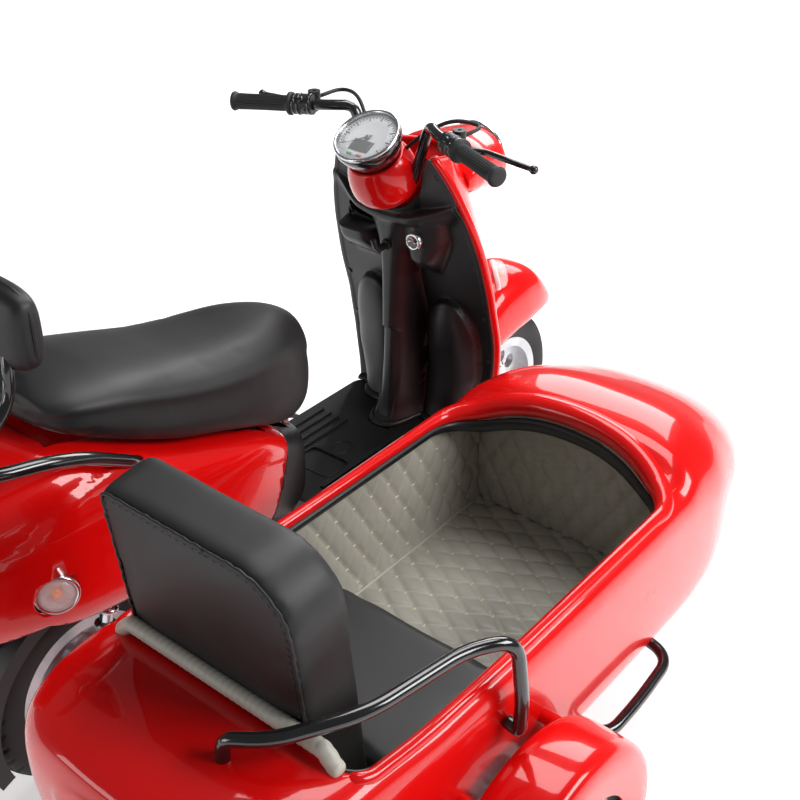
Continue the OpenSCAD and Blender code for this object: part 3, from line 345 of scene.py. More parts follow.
def apron_points(n_up, n_over):
    u = np.linspace(-1, 1, n_over)[None, :]
    low = 300 + 290 * np.sqrt(np.clip(1 - (np.abs(u) / 0.72) ** 4, 0, 1))
    z = low + (apron_rim(u) - low) * np.linspace(0, 1, n_up)[:, None]
    return apron_at(np.broadcast_to(u, z.shape), z)


apron = skin("leg_shield_apron", apron_points(70, 76), shut=False)
applied(apron, "SOLIDIFY", thickness=0.005, offset=-1 if apron.data.polygons[0].normal.x > 0 else 1)
zs = np.linspace(302, 958, 80)
us = np.linspace(-1, 1, 60)
rolls = [pipe("roll", placed(edge_x(zs) + 1, s * (edge_half(zs) - 6), zs), 11, 18) for s in (-1, 1)]
rolls.append(pipe("roll", apron_at(us, apron_rim(us)) + [-2, 0, 0], 5, 12))
leg_shield = joined("leg_shield_apron", [apron] + rolls)
fitted(leg_shield, gloss_red, "chassis", "red_paint", "leg_shield")

# Inner panel: one large black moulding behind the apron, with a centre
# spine, two knee bulges, the key boss, the glove pouch and a collar round
# the steering bowl; satin plastic with a fine grain, held by screws under plugs.
def ramp(v, a, b):
    t = np.clip((v - a) / (b - a), 0, 1)
    return t * t * (3 - 2 * t)


def over(a, b, k):
    return (a + b + np.sqrt((a - b) ** 2 + k * k) - k * 0.4) / 2


def dome(d, e):
    return np.sqrt(np.clip(1 - np.abs(d) ** e, 0, 1))


spine_rows = np.array([
    [312, 868, 58], [350, 880, 44], [430, 890, 36], [540, 896, 34], [650, 900, 35], [730, 902, 42],
    [800, 894, 60], [840, 892, 70], [960, 892, 70]])


def panel_out(y, z):
    ex = edge_x(z)
    half = edge_half(z) - 4
    base = 11 + 9 * (1 - (y / half) ** 2)
    spine_x, spine_half = (through(spine_rows[:, 0], spine_rows[:, c], z) for c in (1, 2))
    spine = (ex - spine_x) * dome(y / spine_half, 3)
    cover = ramp(np.abs(y), 23, 20) * ramp(z, 324, 327) * (1 - ramp(z + 0.02 * y * y, 545, 548))
    spine = spine - 7 * cover
    knee_side = (np.abs(y) - np.interp(z, [312, 430], [84, 104])) / np.interp(z, [312, 420], [46, 66])
    knee_d = np.hypot(knee_side, np.maximum(0, z - 490) / 124)
    knee_bead = 2.5 * np.exp(-((knee_d - 0.95) / 0.035) ** 2)
    knee = np.where(knee_d < 1, base + 4.5 + 40 * dome(knee_d, 2.4) + knee_bead, 0)
    key_half = np.where(z > 776, 54, 18 + 36 * ramp(z, 662, 776))
    key = (ex - 906) * ramp(z, 658, 730) * (1 - ramp(z, 812, 826)) * dome((y + 78) / key_half, 3)
    pouch = 74 * ramp(z, 642, 732) * (1 - ramp(z, 753, 758)) * dome((y - 100) / 54, 4)
    collar_z = 818 + 56 * (np.abs(y) / 180) ** 2
    collar = (ex - 888) * (1 - 0.8 * ramp(np.abs(y), 60, 190)) * ramp(z, collar_z - 62, collar_z - 6)
    collar = collar * (1 - ramp(z, collar_z, collar_z + 8))
    rim_bead = 2.5 * ramp(np.abs(y), half - 12, half - 8)
    return over(over(over(base, spine, 12), knee, 6), over(over(key, pouch, 5), collar, 6), 6) + rim_bead


PANEL_FOOT, PANEL_LEAST = 312.4, 10.3
pz = np.linspace(PANEL_FOOT, 958, 196)[:, None]
pu = np.linspace(-1, 1, 144)[None, :]
py = pu * (edge_half(pz) - 4)
pz = np.broadcast_to(pz, py.shape)
px = edge_x(pz) - np.maximum(PANEL_LEAST, panel_out(py, pz))
inner_panel = skin("inner_panel", placed(px, py, pz), shut=False)
applied(inner_panel, "SOLIDIFY", thickness=0.005,
        offset=1 if inner_panel.data.polygons[0].normal.x > 0 else -1)


def spun(name, line, centre, axis=(0, 0, 1), around=64):
    """A turned shape: line holds (radius, height) pairs along an axis from a centre."""
    n = np.array(axis, float)
    n /= np.linalg.norm(n)
    a = np.cross(n, (0, 1.0, 0) if abs(n[1]) < 0.9 else (1.0, 0, 0))
    a /= np.linalg.norm(a)
    b = np.cross(n, a)
    w = np.linspace(0, 2 * np.pi, around + 1)[:, None]
    ring = np.cos(w) * a + np.sin(w) * b
    return skin(name, [np.array(centre, float) + n * h + r * ring for r, h in line])


def cut(o, *tools, operation="DIFFERENCE"):
    """Takes the tools' shapes out of a piece and clears the tools away."""
    for tool in tools:
        applied(o, "BOOLEAN", object=tool, operation=operation, solver="EXACT")
        bpy.data.objects.remove(tool)


def block(name, low, high, turn=None, about=(0, 0, 0)):
    """A block between two corners, turned about a point where asked."""
    bpy.ops.object.select_all(action="DESELECT")
    bpy.ops.mesh.primitive_cube_add(size=1)
    o = bpy.context.object
    o.name = name
    lo, hi = np.array(low, float), np.array(high, float)
    for v in o.data.vertices:
        v.co = Vector((lo + (hi - lo) * (np.array(v.co) + 0.5)))
    if turn:
        spot = Vector(about)
        lean = Matrix.Rotation(math.radians(turn), 4, "Y")
        o.data.transform(Matrix.Translation(spot) @ lean @ Matrix.Translation(-spot))
    o.data.transform(Matrix.Translation(-Vector(ORIGIN)))
    o.data.transform(Matrix.Scale(0.001, 4))
    return o


STEER = (1388.0, 0.0, 0.0)
RAKE = math.radians(28.5)
STEM = (-math.sin(RAKE), 0.0, math.cos(RAKE))
BOWL_H, BOWL_R, BOWL_DOWN, BOWL_UP = 1016.55, 74, 52, 100


def on_stem(x, y, h):
    """A point from its place across the steering axis and its height along it."""
    return np.array([STEER[0] + x * math.cos(RAKE) - h * math.sin(RAKE), y,
                     x * math.sin(RAKE) + h * math.cos(RAKE)])


def bowl_line(h0, h1, t, n=24):
    h = np.linspace(h0, h1, n)
    k = np.where(h < BOWL_H, BOWL_DOWN, BOWL_UP) - t
    return [((BOWL_R - t) * math.sqrt(max(0, 1 - ((q - BOWL_H) / kk) ** 2)), q) for q, kk in zip(h, k)]


def dish():
    """The room cut out round the steering bowl, flaring upwards."""
    flare = [(86, 10), (94, 27), (108, 52), (126, 80), (126, 200), (0.0, 200)]
    return spun("dish", [(0.0, BOWL_H - 60)] + bowl_line(BOWL_H - 60, BOWL_H, -9)
                + [(r, BOWL_H + h) for r, h in flare], STEER, STEM)


window = block("window", (840, 60, 756), (960, 140, 798))
applied(window, "BEVEL", width=0.012, segments=4)
cut(inner_panel, dish(), window)
pocket = block("pocket", (951, 55, 690), (990, 145, 804))
bpy.ops.object.mode_set(mode="EDIT")
bpy.ops.mesh.select_all(action="DESELECT")
bpy.ops.object.mode_set(mode="OBJECT")
for face in pocket.data.polygons:
    face.select = face.normal.x < -0.5
bpy.ops.object.mode_set(mode="EDIT")
bpy.ops.mesh.select_mode(type="FACE")
bpy.ops.mesh.delete(type="FACE")
bpy.ops.object.mode_set(mode="OBJECT")
applied(pocket, "SOLIDIFY", thickness=0.003, offset=1)
plug_line = [(0.0, 3.4), (3.6, 3.2), (5.4, 2.2), (6.6, 0.2), (6.6, -3), (0.0, -3)]
plugs = []
for z in (476, 588, 718, 921):
    for s in (-1, 1):
        y = s * (float(edge_half(z)) - 17)
        x = float(edge_x(z) - max(PANEL_LEAST, panel_out(np.array(y), np.array(float(z)))))
        plugs.append(spun("plug", plug_line, (x, y, z), (-1, 0, -0.2), 20))
lip_line = ((8, 322), (-2, 321), (-9, 318), (-13, PANEL_FOOT), (8, PANEL_FOOT), (8, 322))
lip = skin("lip", [placed(px[0] + out, py[0], up) for out, up in lip_line])
inner_panel = joined("inner_panel", [inner_panel, pocket, lip] + plugs)
fitted(inner_panel, moulded_black, "chassis", "black_plastic", "inner_shield")
key_barrel = spun("key_barrel", [(0.0, 4), (9, 4), (9.6, 6.4), (12, 6.8), (12.4, 10), (14, 11.6), (17.6, 11),
                                 (19, 8), (19, -12), (0.0, -12)],
                  (906, -77, 774), (-1, 0, 0), 48)
fitted(key_barrel, bright_steel, "chassis", "bright_steel", "key_switch")
slot = block("key_slot", (900.4, -78.2, 770), (902.6, -75.8, 778))
fitted(slot, moulded_black, "chassis", "black_plastic")
hook = pipe("bag_hook_arm", bent([(908, 0, 744), (872, 0, 742), (862, 0, 768)], 20),
            np.concatenate([np.full(6, 7.5), np.full(6, 6.4)]), 20)
hook = joined("bag_hook_arm", [hook, spun("foot", [(0.0, 6), (9, 5.4), (12, 2), (12, -6), (0.0, -6)],
                                          (903, 0, 744), (-1, 0, 0), 32)])
fitted(hook, moulded_black, "chassis", "black_plastic", "bag_hook")

# Steering bowl: the round red cover under the gauge, a thin painted shell that
# sits in the inner panel's collar and turns with the bar.
wall = bowl_line(BOWL_H - 44, BOWL_H + 64, 0, 40)
steering_bowl = spun("steering_bowl_cover", wall + [(50.4, BOWL_H + 64), (50.4, BOWL_H + 60)]
                     + bowl_line(BOWL_H + 60, BOWL_H - 43, 4, 20) + wall[:1], STEER, STEM, 96)
fitted(steering_bowl, gloss_red, "steering", "red_paint", "steering_bowl")

# Headlamp cowl: red pressing on the front of the apron, with the lamp in its
# mouth: chrome ring, bright reflector and a clear fluted glass.
def bowed(v, power):
    """A power of a value that keeps its sign."""
    return np.sign(v) * np.abs(v) ** power


def along_line(p):
    """Distances along a line of points, from its first."""
    return np.concatenate(([0], np.cumsum(np.linalg.norm(np.diff(p, axis=0), axis=1))))


def section(a, b, c, t, low, high, n):
    """Rounded section of a body: half width, bottom, widest height, top and corner powers."""
    w = np.linspace(0, 2 * np.pi, n + 1)
    e = np.where(np.sin(w) > 0, 2 / high, 2 / low)
    y = a * bowed(np.cos(w), e)
    z = c + np.where(np.sin(w) > 0, t - c, c - b) * bowed(np.sin(w), e)
    return y, z


def body_rings(rows, along, around, y0=0.0, inset=0.0, bulge=(6, 6)):
    """Rings of a smooth body through its rows of sections, with rounded ends."""
    rows = np.array(rows, float)
    s = along_line(rows[:, [0, 1, 2, 4]])
    q = np.linspace(0, s[-1], along)
    col = [through(s, rows[:, c], q) for c in range(7)]
    rings = []
    for i in range(along):
        x, a, b, c, t, low, high = (col[k][i] for k in range(7))
        y, z = section(max(a - inset, 2), min(b + inset, c - 1), c, max(t - inset, c + 1), low, high, around)
        ring = placed(x, y + y0, z)
        if i in (0, along - 1):
            out = -bulge[0] if i == 0 else bulge[1]
            mid = np.array([x, y0, c])
            cap = [mid + (ring - mid) * math.cos(w) + np.array([out * math.sin(w), 0, 0])
                   for w in np.radians((90, 70, 50, 30, 14) if i == 0 else (14, 30, 50, 70, 90))]
            rings += cap + [ring] if i == 0 else [ring] + cap
        else:
            rings.append(ring)
    return rings


cowl_rows = [
    [1046, 106, 818, 862, 888, 2.4, 3], [1064, 111, 810, 868, 906, 2.4, 3],
    [1090, 111, 803, 868, 926, 2.3, 2.8], [1115, 107, 799, 865, 930, 2.2, 2.6],
    [1140, 103, 793, 861, 927, 2.1, 2.4], [1170, 98, 786, 856, 924, 2, 2.2],
    [1190, 94, 781, 853, 922, 2, 2.1], [1205, 90, 776, 850, 920, 2, 2], [1214, 84, 780, 850, 916, 2, 2]]
LAMP = (1174, 0, 850)


def in_lamp(name, line, around=64):
    return spun(name, line, LAMP, (1, 0, 0), around)


headlamp_cowl = skin("headlamp_cowl_cover", body_rings(cowl_rows, 50, 72, bulge=(0, 0)))
mouth = in_lamp("mouth", [(0.0, 0), (58.5, 0), (60, 40), (60, 80), (0.0, 80)])
cut(headlamp_cowl, dish(), mouth)
fitted(headlamp_cowl, gloss_red, "chassis", "red_paint", "headlamp_cowl")
lamp_ring = in_lamp("ring", [(58, 42), (60, 40.4), (75, 40.4), (76, 43), (75, 47.5), (70, 51), (64, 52),
                             (59, 50), (58, 42)], 80)
reflector = in_lamp("reflector", [(0.0, 2), (12, 3), (34, 13), (50, 28), (57.5, 43), (57.8, 41), (50, 25),
                                  (34, 10), (12, 0), (0.0, 0)])
headlamp = joined("headlamp_ring", [lamp_ring, reflector])
fitted(headlamp, bright_steel, "chassis", "bright_steel", "headlamp")
clear_lens = finish("clear_lens", (0.93, 0.94, 0.95), (0.97, 0.98, 0.99), (0.03, 0.08), 120, 1.0, 20,
                    coat=1.0, pattern="cells", depth=0.003, clear=0.76)
glass = in_lamp("headlamp_glass", [(0.0, 51.8), (30, 51), (50, 48.6), (57.8, 45), (57.8, 43.6), (50, 46.6),
                                   (30, 49), (0.0, 49.8)])
fitted(glass, clear_lens, "chassis", "clear_lens")

# Turn signals: an amber bulb in a pale bowl under a clear lens of flat facets.
# Two sit in chromed rings on the tail, and two mostly of lens on the apron.
amber_glass = finish("amber_glass", (0.85, 0.20, 0.01), (0.95, 0.28, 0.02), (0.1, 0.2), 200, 0.1, 30,
                     coat=1.0, glow=0.35)
housings, bowls, bulbs, lenses = [], [], [], []
FRONT_SIGNAL = (1062, 170, 664), (0.679, 0.704, 0.208), 0.92
REAR_SIGNAL = (-100, 152, 550), (-0.469, 0.883, 0), 1.0
for place, axis, scale in (FRONT_SIGNAL, REAR_SIGNAL):
    for s in (-1, 1):
        c, n = (place[0], s * place[1], place[2]), (axis[0], s * axis[1], axis[2])
        rise = 3 if scale < 1 else 0
        line = [(0.0, -8), (36, -8), (37, -6), (37, 11), (35.6, 15.4), (32, 16.4), (30.6, 14), (24, 9),
                (10, 3), (0.0, 2)]
        if rise:
            line[3:] = [(37, 0), (35.6, 2.4), (32, 3), (10, 2.4), (0.0, 2)]
        housings.append(spun("housing", [(r * scale, h + rise) for r, h in line], c, n, 56))
        if not rise:
            bowls.append(spun("bowl", [(0.0, 2.6), (10, 3.6), (24, 9.6), (30.4, 14.4), (30.2, 13.6), (24, 9),
                                       (10, 3), (0.0, 2)], c, n, 40))
        line = [(0.0, 1), (6, 3), (8, 8), (6, 13), (0.0, 15)]
        bulbs.append(spun("bulb", [(r * scale, h + rise) for r, h in line], c, n, 24))
        line = [(0.0, 23.8), (10, 23.2), (20, 21.6), (28, 18.4), (31, 14.6), (30, 13.4), (24, 17),
                (12, 20), (0.0, 21)]
        if rise:
            line[3:] = [(28.4, 18.2), (33.4, 11), (35, 2.6), (33, 2.6), (31, 10.4), (26, 16.4),
                        (12, 20), (0.0, 21)]
        lenses.append(spun("lens", [(r * scale, h + rise) for r, h in line], c, n, 28))
pale_bowl = finish("pale_reflector", (0.80, 0.81, 0.82), (0.88, 0.89, 0.90), (0.18, 0.28), 400,
                   0.05, 20, coat=0.6)
front_signals = joined("front_signal_housings", housings[:2])
fitted(front_signals, pale_bowl, "chassis", "lamp_lens", "front_indicators")
fitted(joined("rear_signal_bowls", bowls), pale_bowl, "chassis", "lamp_lens")
rear_signals = joined("rear_signal_housings", housings[2:])
fitted(rear_signals, bright_steel, "chassis", "bright_steel", "rear_indicators")
fitted(joined("signal_bulbs", bulbs), amber_glass, "chassis", "lamp_lens")
signal_lenses = joined("signal_lenses", lenses)
bpy.ops.object.shade_flat()
fitted(signal_lenses, clear_lens, "chassis", "clear_lens")

# Front mudguard: a bulbous red pressing over the wheel, carried by the fork and
# turning with it; the wheel's room is cut out of it.
guard_rows = [
    [-214, 34, 292, 320, 352, 2.4, 2.2], [-190, 80, 296, 350, 410, 2.4, 2.4],
    [-130, 86, 330, 400, 490, 2.6, 2.6], [-60, 90, 362, 430, 534, 2.8, 2.6],
    [10, 92, 378, 440, 545, 2.8, 2.6], [70, 88, 386, 440, 530, 2.8, 2.6],
    [120, 78, 388, 430, 486, 2.6, 2.4], [156, 60, 380, 412, 436, 2.4, 2.2],
    [172, 34, 376, 396, 410, 2.2, 2.2]]
guard_rows = [[r[0] + WHEELBASE] + r[1:] for r in guard_rows]
front_mudguard = skin("front_mudguard_cover", body_rings(guard_rows, 70, 64, bulge=(4, 4)))
well = spun("well", [(0.0, -54), (217, -54), (217, 54), (0.0, 54)], (WHEELBASE, 0, WHEEL_Z), (0, 1, 0), 96)
cut(front_mudguard, well)
fitted(front_mudguard, gloss_red, "steering", "red_paint", "front_mudguard")

# Handlebar: bent black tube clamped to the steering stem, with ribbed rubber
# grips, slim levers with ball ends and bands and buttons on the switches.
fine_black = finish("polished_black", (0.006, 0.006, 0.007), (0.011, 0.011, 0.012), (0.14, 0.22), 700,
                    0.03, 10, coat=0.8)
grip_rubber = finish("grip_rubber", (0.012, 0.012, 0.013), (0.02, 0.02, 0.021), (0.5, 0.64), 900, 0.2, 16)
CLAMP = on_stem(0, 0, BOWL_H - 15)
GRIP_IN = np.array([CLAMP[0] - 46, 212, 1013.0])
GRIP_OUT = np.array([GRIP_IN[0] - 50, 340, 1005.0])
INWARD = (GRIP_IN - GRIP_OUT) / np.linalg.norm(GRIP_IN - GRIP_OUT)
FLIP = np.array([1, -1, 1.0])
half_bar = [GRIP_OUT + 8 * INWARD, GRIP_IN + 80 * INWARD, np.array([CLAMP[0] + 14, 96, 1019]),
            np.array([CLAMP[0], 60, CLAMP[2]])]
bar = pipe("handlebar_tube", bent(half_bar + [p * FLIP for p in half_bar[::-1]], 34), 11, 24)
fitted(bar, fine_black, "steering", "black_steel", "handlebar")


def grip_rings(s):
    """Rings of a grip: flange, ribbed sleeve and a round bulb at the end."""
    a, b = GRIP_IN * [1, s, 1], GRIP_OUT * [1, s, 1]
    n = (b - a) / np.linalg.norm(b - a)
    e = np.cross(n, (0, 0, 1.0))
    e /= np.linalg.norm(e)
    f = np.cross(n, e)
    w = np.linspace(0, 2 * np.pi, 145)[:, None]
    span = np.linalg.norm(b - a)
    shape = [
        (0.0, 12, 0), (0.0, 20, 0), (0.012, 23.2, 0), (0.04, 24, 0), (0.066, 23.2, 0), (0.08, 20, 0),
        (0.085, 16.4, 0), (0.11, 16.2, 0), (0.125, 15.6, 1), (0.3, 15.4, 1), (0.5, 15.4, 1), (0.7, 15.6, 1),
        (0.87, 16, 1), (0.885, 16.4, 0), (0.905, 16.6, 0), (0.925, 18.4, 0), (0.945, 19.6, 0),
        (0.965, 19.8, 0), (0.983, 18.4, 0), (0.995, 14, 0), (1.0, 8, 0), (1.0, 0, 0)]
    rib = 0.75 * bowed(np.cos(24 * w), 0.4)
    return [a + n * t * span + (r + k * rib) * (np.cos(w) * e + np.sin(w) * f) for t, r, k in shape]


grips = [skin("grip", grip_rings(s)) for s in (-1, 1)]
fitted(joined("grip_sleeves", grips), grip_rubber, "steering", "grip_rubber", "grips")
PERCH = GRIP_IN + 27 * INWARD
PERCH_TOP = PERCH + [26, 0, 8]
ROOT = PERCH_TOP + [4, 0, -25.3]
TIP = GRIP_OUT + [98, 10, -12]
levers = []
for s in (-1, 1):
    flip = np.array([1, s, 1])
    line = bent([ROOT * flip, (ROOT + [26, 34, -4]) * flip, TIP * flip], 30, 16)
    far = np.linalg.norm(line - line[-1], axis=1)
    thick = np.where(far < 1, 5.4, np.interp(far, [0, 60, 150], [5.2, 5.6, 7]))
    levers.append(pipe("lever", line, thick, 18))
    ball = [(9 * math.sin(w), -9 * math.cos(w)) for w in np.linspace(0, math.pi, 14)]
    levers.append(spun("ball", ball, TIP * flip, (0, 1, 0), 24))
fitted(joined("lever_blades", levers), fine_black, "steering", "black_steel", "brake_levers")
switches = []
for s in (-1, 1):
    flip = np.array([1, s, 1])
    for k, r in ((4, 21.8), (15, 22.6), (38, 21.8)):
        line = [(21.2, -3), (r, -2), (r, 2), (21.2, 3), (20.6, 3), (20.6, -3), (21.2, -3)]
        switches.append(spun("band", line, (GRIP_IN + k * INWARD) * flip, INWARD * flip, 40))
    for k, up, size in ((12, (-0.9, 0, 0.45), 5.4), (27, (-0.75, 0, 0.66), 6.2), (36, (-0.95, 0, -0.2), 4.4)):
        line = [(0.0, 25.4), (size * 0.7, 25), (size, 23.4), (size, 19), (0.0, 19)]
        switches.append(spun("button", line, (GRIP_IN + k * INWARD) * flip, up, 20))
fitted(joined("switch_bands", switches), fine_black, "steering", "black_plastic")

# Brake hoses: two stiff rubber hoses from the lever perches down into the bowl,
# held at both ends and lying in a loose bend ahead of the bar.
HOSE, HOSE_UP = 8, 54


def hose_foot(s, d):
    """A point a distance off the bowl's wall, over the place where a hose goes in."""
    wide = BOWL_R * math.sqrt(1 - (HOSE_UP / BOWL_UP) ** 2)
    n = np.array([wide / BOWL_R ** 2, HOSE_UP / BOWL_UP ** 2])
    n /= np.linalg.norm(n)
    k = (wide + d * n[0]) * math.cos(math.radians(45))
    return on_stem(k, s * k, BOWL_H + HOSE_UP + d * n[1])


for s, side in ((-1, "right"), (1, "left")):
    flip = np.array([1, s, 1])
    line = bent([(PERCH_TOP + [13.3, 0, -2]) * flip, (PERCH_TOP + [84, 0, -2]) * flip,
                 hose_foot(s, 60) + [26, s * 40, 24], hose_foot(s, 44), hose_foot(s, 0.3)], 50, 14)
    hose = pipe("brake_hose_" + side, line, HOSE / 2, 16, end_round=False)
    fitted(hose, grip_rubber, "steering", "grip_rubber", *(["brake_hoses"] if s < 0 else []))

# Gauge: a black cup with a chrome bezel, a pale dial with ticks, a needle and
# three tell-tales under a clear glass.
POD_H = BOWL_H + 58


def on_gauge(name, line, around):
    """A turned shape on the steering axis, with its heights from the gauge's foot."""
    return spun(name, [(r, POD_H + h) for r, h in line], STEER, STEM, around)


def on_dial(w, radii, h):
    """Points along a ray of the dial."""
    return [on_stem(r * math.cos(w), r * math.sin(w), POD_H + h) for r in radii]


cup_line = [(0.0, 1), (46, 1), (50, 5), (56, 16), (62, 28), (67, 38), (69.6, 46),
            (70, 52), (69.6, 57), (64, 57), (63, 52.6), (0.0, 52.6)]
cup = on_gauge("gauge_cup", cup_line, 80)
fitted(cup, fine_black, "steering", "black_plastic", "gauge_pod")
bezel_line = [(62.8, 54), (62.8, 61), (64.6, 63.6), (67.4, 63.8), (69.4, 61.6),
              (69.8, 57.2), (66, 57.2), (62.8, 54)]
bezel = on_gauge("gauge_bezel", bezel_line, 80)
fitted(bezel, bright_steel, "steering", "bright_steel")
dial_face = finish("dial_face", (0.66, 0.67, 0.68), (0.74, 0.75, 0.76), (0.35, 0.5), 900, 0.05, 12)
dial = on_gauge("gauge_dial", [(0.0, 53), (62.6, 53), (62.6, 54.4), (40, 54), (39, 53.6), (0.0, 53.6)], 80)
fitted(dial, dial_face, "steering", "lamp_lens", "gauge_glass")
ticks = []
for k in range(33):
    inner, thick = (46, 1.1) if k % 4 == 0 else (52, 0.6)
    ticks.append(pipe("tick", on_dial(math.radians(-120 + 240 * k / 32), (inner, 54, 57), 54.6), thick, 6))
ticks.append(pipe("needle", on_dial(2.2, (-10, 0, 20, 44), 57), (1.6, 1.6, 1.2, 0.5), 8))
ticks.append(on_gauge("hub", [(0.0, 59), (5, 58.4), (6.4, 56), (6.4, 53), (0.0, 53)], 24))
screen = skin("screen", [[on_stem(-22 - 14 * a, 24 * b, POD_H + 54.8) for b in np.linspace(-1, 1, 9)]
                         for a in (-1, -0.9, 0.9, 1)], shut=False)
applied(screen, "SOLIDIFY", thickness=0.001, offset=0)
fitted(joined("gauge_marks", ticks + [screen]), fine_black, "steering", "black_plastic")
tell_tales = {"red": (0.6, 0.01, 0.01), "white": (0.8, 0.8, 0.8), "green": (0.02, 0.4, 0.08)}
for k, (name, tone) in enumerate(tell_tales.items()):
    lit = finish("tell_tale_" + name, tuple(0.8 * c for c in tone), tone, (0.2, 0.3), 500, 0.05, 30, coat=0.8)
    lamp_ys = np.linspace(-17, -7, 4) + 12 * k
    lamp = pipe("tell_tale_" + name, [on_stem(-47, y, POD_H + 54.8) for y in lamp_ys], 2.8, 10)
    fitted(lamp, lit, "steering", "lamp_lens")
flat_glass = finish("gauge_glass", (0.97, 0.97, 0.98), (0.99, 0.99, 1.0), (0.01, 0.03), 60, 0.01, 6,
                    coat=1.0, clear=0.88)
cover = on_gauge("gauge_cover",
                 [(0.0, 62.4), (40, 61.6), (62.6, 60), (62.6, 59.4), (40, 60.8), (0.0, 61.6)], 64)
fitted(cover, flat_glass, "steering", "clear_lens")

# Floorboard: moulded black plastic with grip ribs, a plain raised oval and the
# rim of a lift-out cover, laid on the frame rails.
FLOOR_Z = 312
beads = []
for s in (-1, 1):
    for k in range(4):
        y = s * (139 - k * 24)
        for edge in (-4, 4):
            beads.append(pipe("bead", placed(np.linspace(607, 833, 6), y + edge, FLOOR_Z + 4.6), 1.1, 8))
w = np.linspace(0, 2 * np.pi, 41)
beads.append(pipe("oval", placed(742 + 30 * np.cos(w), 22 * np.sin(w), FLOOR_Z + 0.2), 1.4, 8))
beads.append(pipe("oval", placed(742 + 24 * np.cos(w), 17 * np.sin(w), FLOOR_Z), 0.9, 8))
square_x, square_y = bowed(np.cos(w), 0.4), bowed(np.sin(w), 0.4)
beads.append(pipe("rim", placed(675 + 38 * square_x, 55 * square_y, FLOOR_Z), 1.8, 8))
fitted(joined("floor_beads", beads), moulded_black, "chassis", "black_plastic")

# Tail: the red bodywork round the rear wheel and under the saddle, meeting
# the black column on a sloping joint; both are one body cut in two.
tail_rows = [
    [-330, 0.28, 560, 640, 690, 2.2, 2.2], [-300, 0.50, 510, 630, 716, 2.6, 2.6],
    [-234, 0.74, 462, 610, 744, 3, 3.2], [-130, 0.90, 432, 590, 768, 3.4, 3.6],
    [-46, 0.97, 418, 575, 776, 3.6, 4], [10, 0.99, 412, 565, 762, 3.6, 4.2],
    [80, 1.00, 404, 550, 728, 3.6, 4.4], [180, 0.98, 388, 535, 676, 3.6, 4.6],
    [290, 0.92, 366, 510, 630, 3.4, 4.8], [400, 0.80, 336, 480, 580, 3.8, 5],
    [490, 0.62, 312.3, 440, 524, 4, 5], [540, 0.47, 312.3, 420, 496, 4, 4],
    [562, 0.37, 312.3, 410, 482, 3.6, 3.6], [574, 0.25, 318, 410, 462, 3, 3]]
TAIL_HALF = 176
tail_rows = [[r[0], r[1] * TAIL_HALF] + r[2:] for r in tail_rows]
form = np.array(body_rings(tail_rows, 130, 112, bulge=(6, 4)))
fold = np.interp(form[..., 0], [-330, -185, -131, -65, 8, 60, 140],
                 [600, 646, 664, 704, 720, 724, 704]) - form[..., 2]
press = 7 * ramp(fold, -5, 5) * (1 - ramp(fold, 30, 190))
press = press * ramp(form[..., 0], -326, -250) * ramp(form[..., 0], 150, 60)
form[..., 1] += np.sign(form[..., 1]) * press * ramp(np.abs(form[..., 1]), 60, 110)
tail = skin("tail_panels", form)
applied(tail, "SOLIDIFY", thickness=0.0045, offset=-1)
bpy.ops.object.duplicate()
column = bpy.context.object


def joint(x):
    """The sloping block ahead of the joint between tail and column."""
    return block("joint", (x, -300, -204), (x + 900, 300, 1196), 30, (x, 0, 396))


seat_well = [(-40, 700), (60, 670), (200, 620), (430, 510), (430, 720), (-40, 900), (-40, 700)]
ends = [[(180, y, 690)] * len(seat_well) for y in (-98, 98)]
sides = [[(x, y, z) for x, z in seat_well] for y in (-98, 98)]
well = skin("well", [ends[0], *sides, ends[1]])
arch = block("wheel_arch", (-230, -150, 300), (262, 150, 490))
place, axis = np.array(REAR_SIGNAL[:2])
socket_line = [(0.0, -40), (37.3, -40), (37.3, 40), (0.0, 40)]
sockets = [spun("socket", socket_line, place * [1, s, 1], axis * [1, s, 1], 48) for s in (-1, 1)]
cut(tail, joint(398), well, arch, *sockets, block("lamp_hole", (-350, -60.3, 601.7), (-290, 60.3, 648.3)))
fitted(tail, gloss_red, "chassis", "red_paint", "tail_body")
cut(column, joint(398.5), operation="INTERSECT")
cut(column, block("slot", (300, -60, 500), (526, 60, 640)), block("seat", (535, -42, 489), (595, 42, 529)))
column.name = column.data.name = "column_panels"
fitted(column, moulded_black, "chassis", "black_plastic", "column_cover")
red_lens = finish("red_lens", (0.35, 0.004, 0.006), (0.42, 0.006, 0.008), (0.08, 0.14), 140, 0.3, 20,
                  coat=1.0, pattern="cells")
lamp = applied(block("tail_lamp_lens", (-336, -60, 602), (-292, 60, 648)), "BEVEL", width=0.009, segments=5)
bpy.ops.object.shade_smooth_by_angle(angle=math.radians(40))
fitted(lamp, red_lens, "chassis", "red_lens", "tail_lamp")
half_rail = [(120, -118, 668), (84, -158, 702), (-50, -182, 794), (-200, -162, 822), (-306, -60, 822)]
rails = [pipe("rail", bent(half_rail + [(x, -y, z) for x, y, z in half_rail[::-1]], 70), 11, 20)]
for s in (-1, 1):
    rails.append(pipe("stem", bent([(-180, s * 165, 819.5), (-130, s * 96, 829), (-76, s * 88, 866),
                                    (-66, s * 88, 948)], 50), 9, 18))
fitted(joined("grab_rail_tube", rails), fine_black, "chassis", "black_steel", "grab_rail")

# Saddle: foam under black leatherette with a fine grain, on its hinged pan.
# The cover is blown up as cloth over the form and held down along its foot.
leatherette = finish("black_leatherette", (0.0085, 0.0085, 0.009), (0.014, 0.014, 0.015), (0.45, 0.55), 620,
                     0.3, 8, pattern="grain")


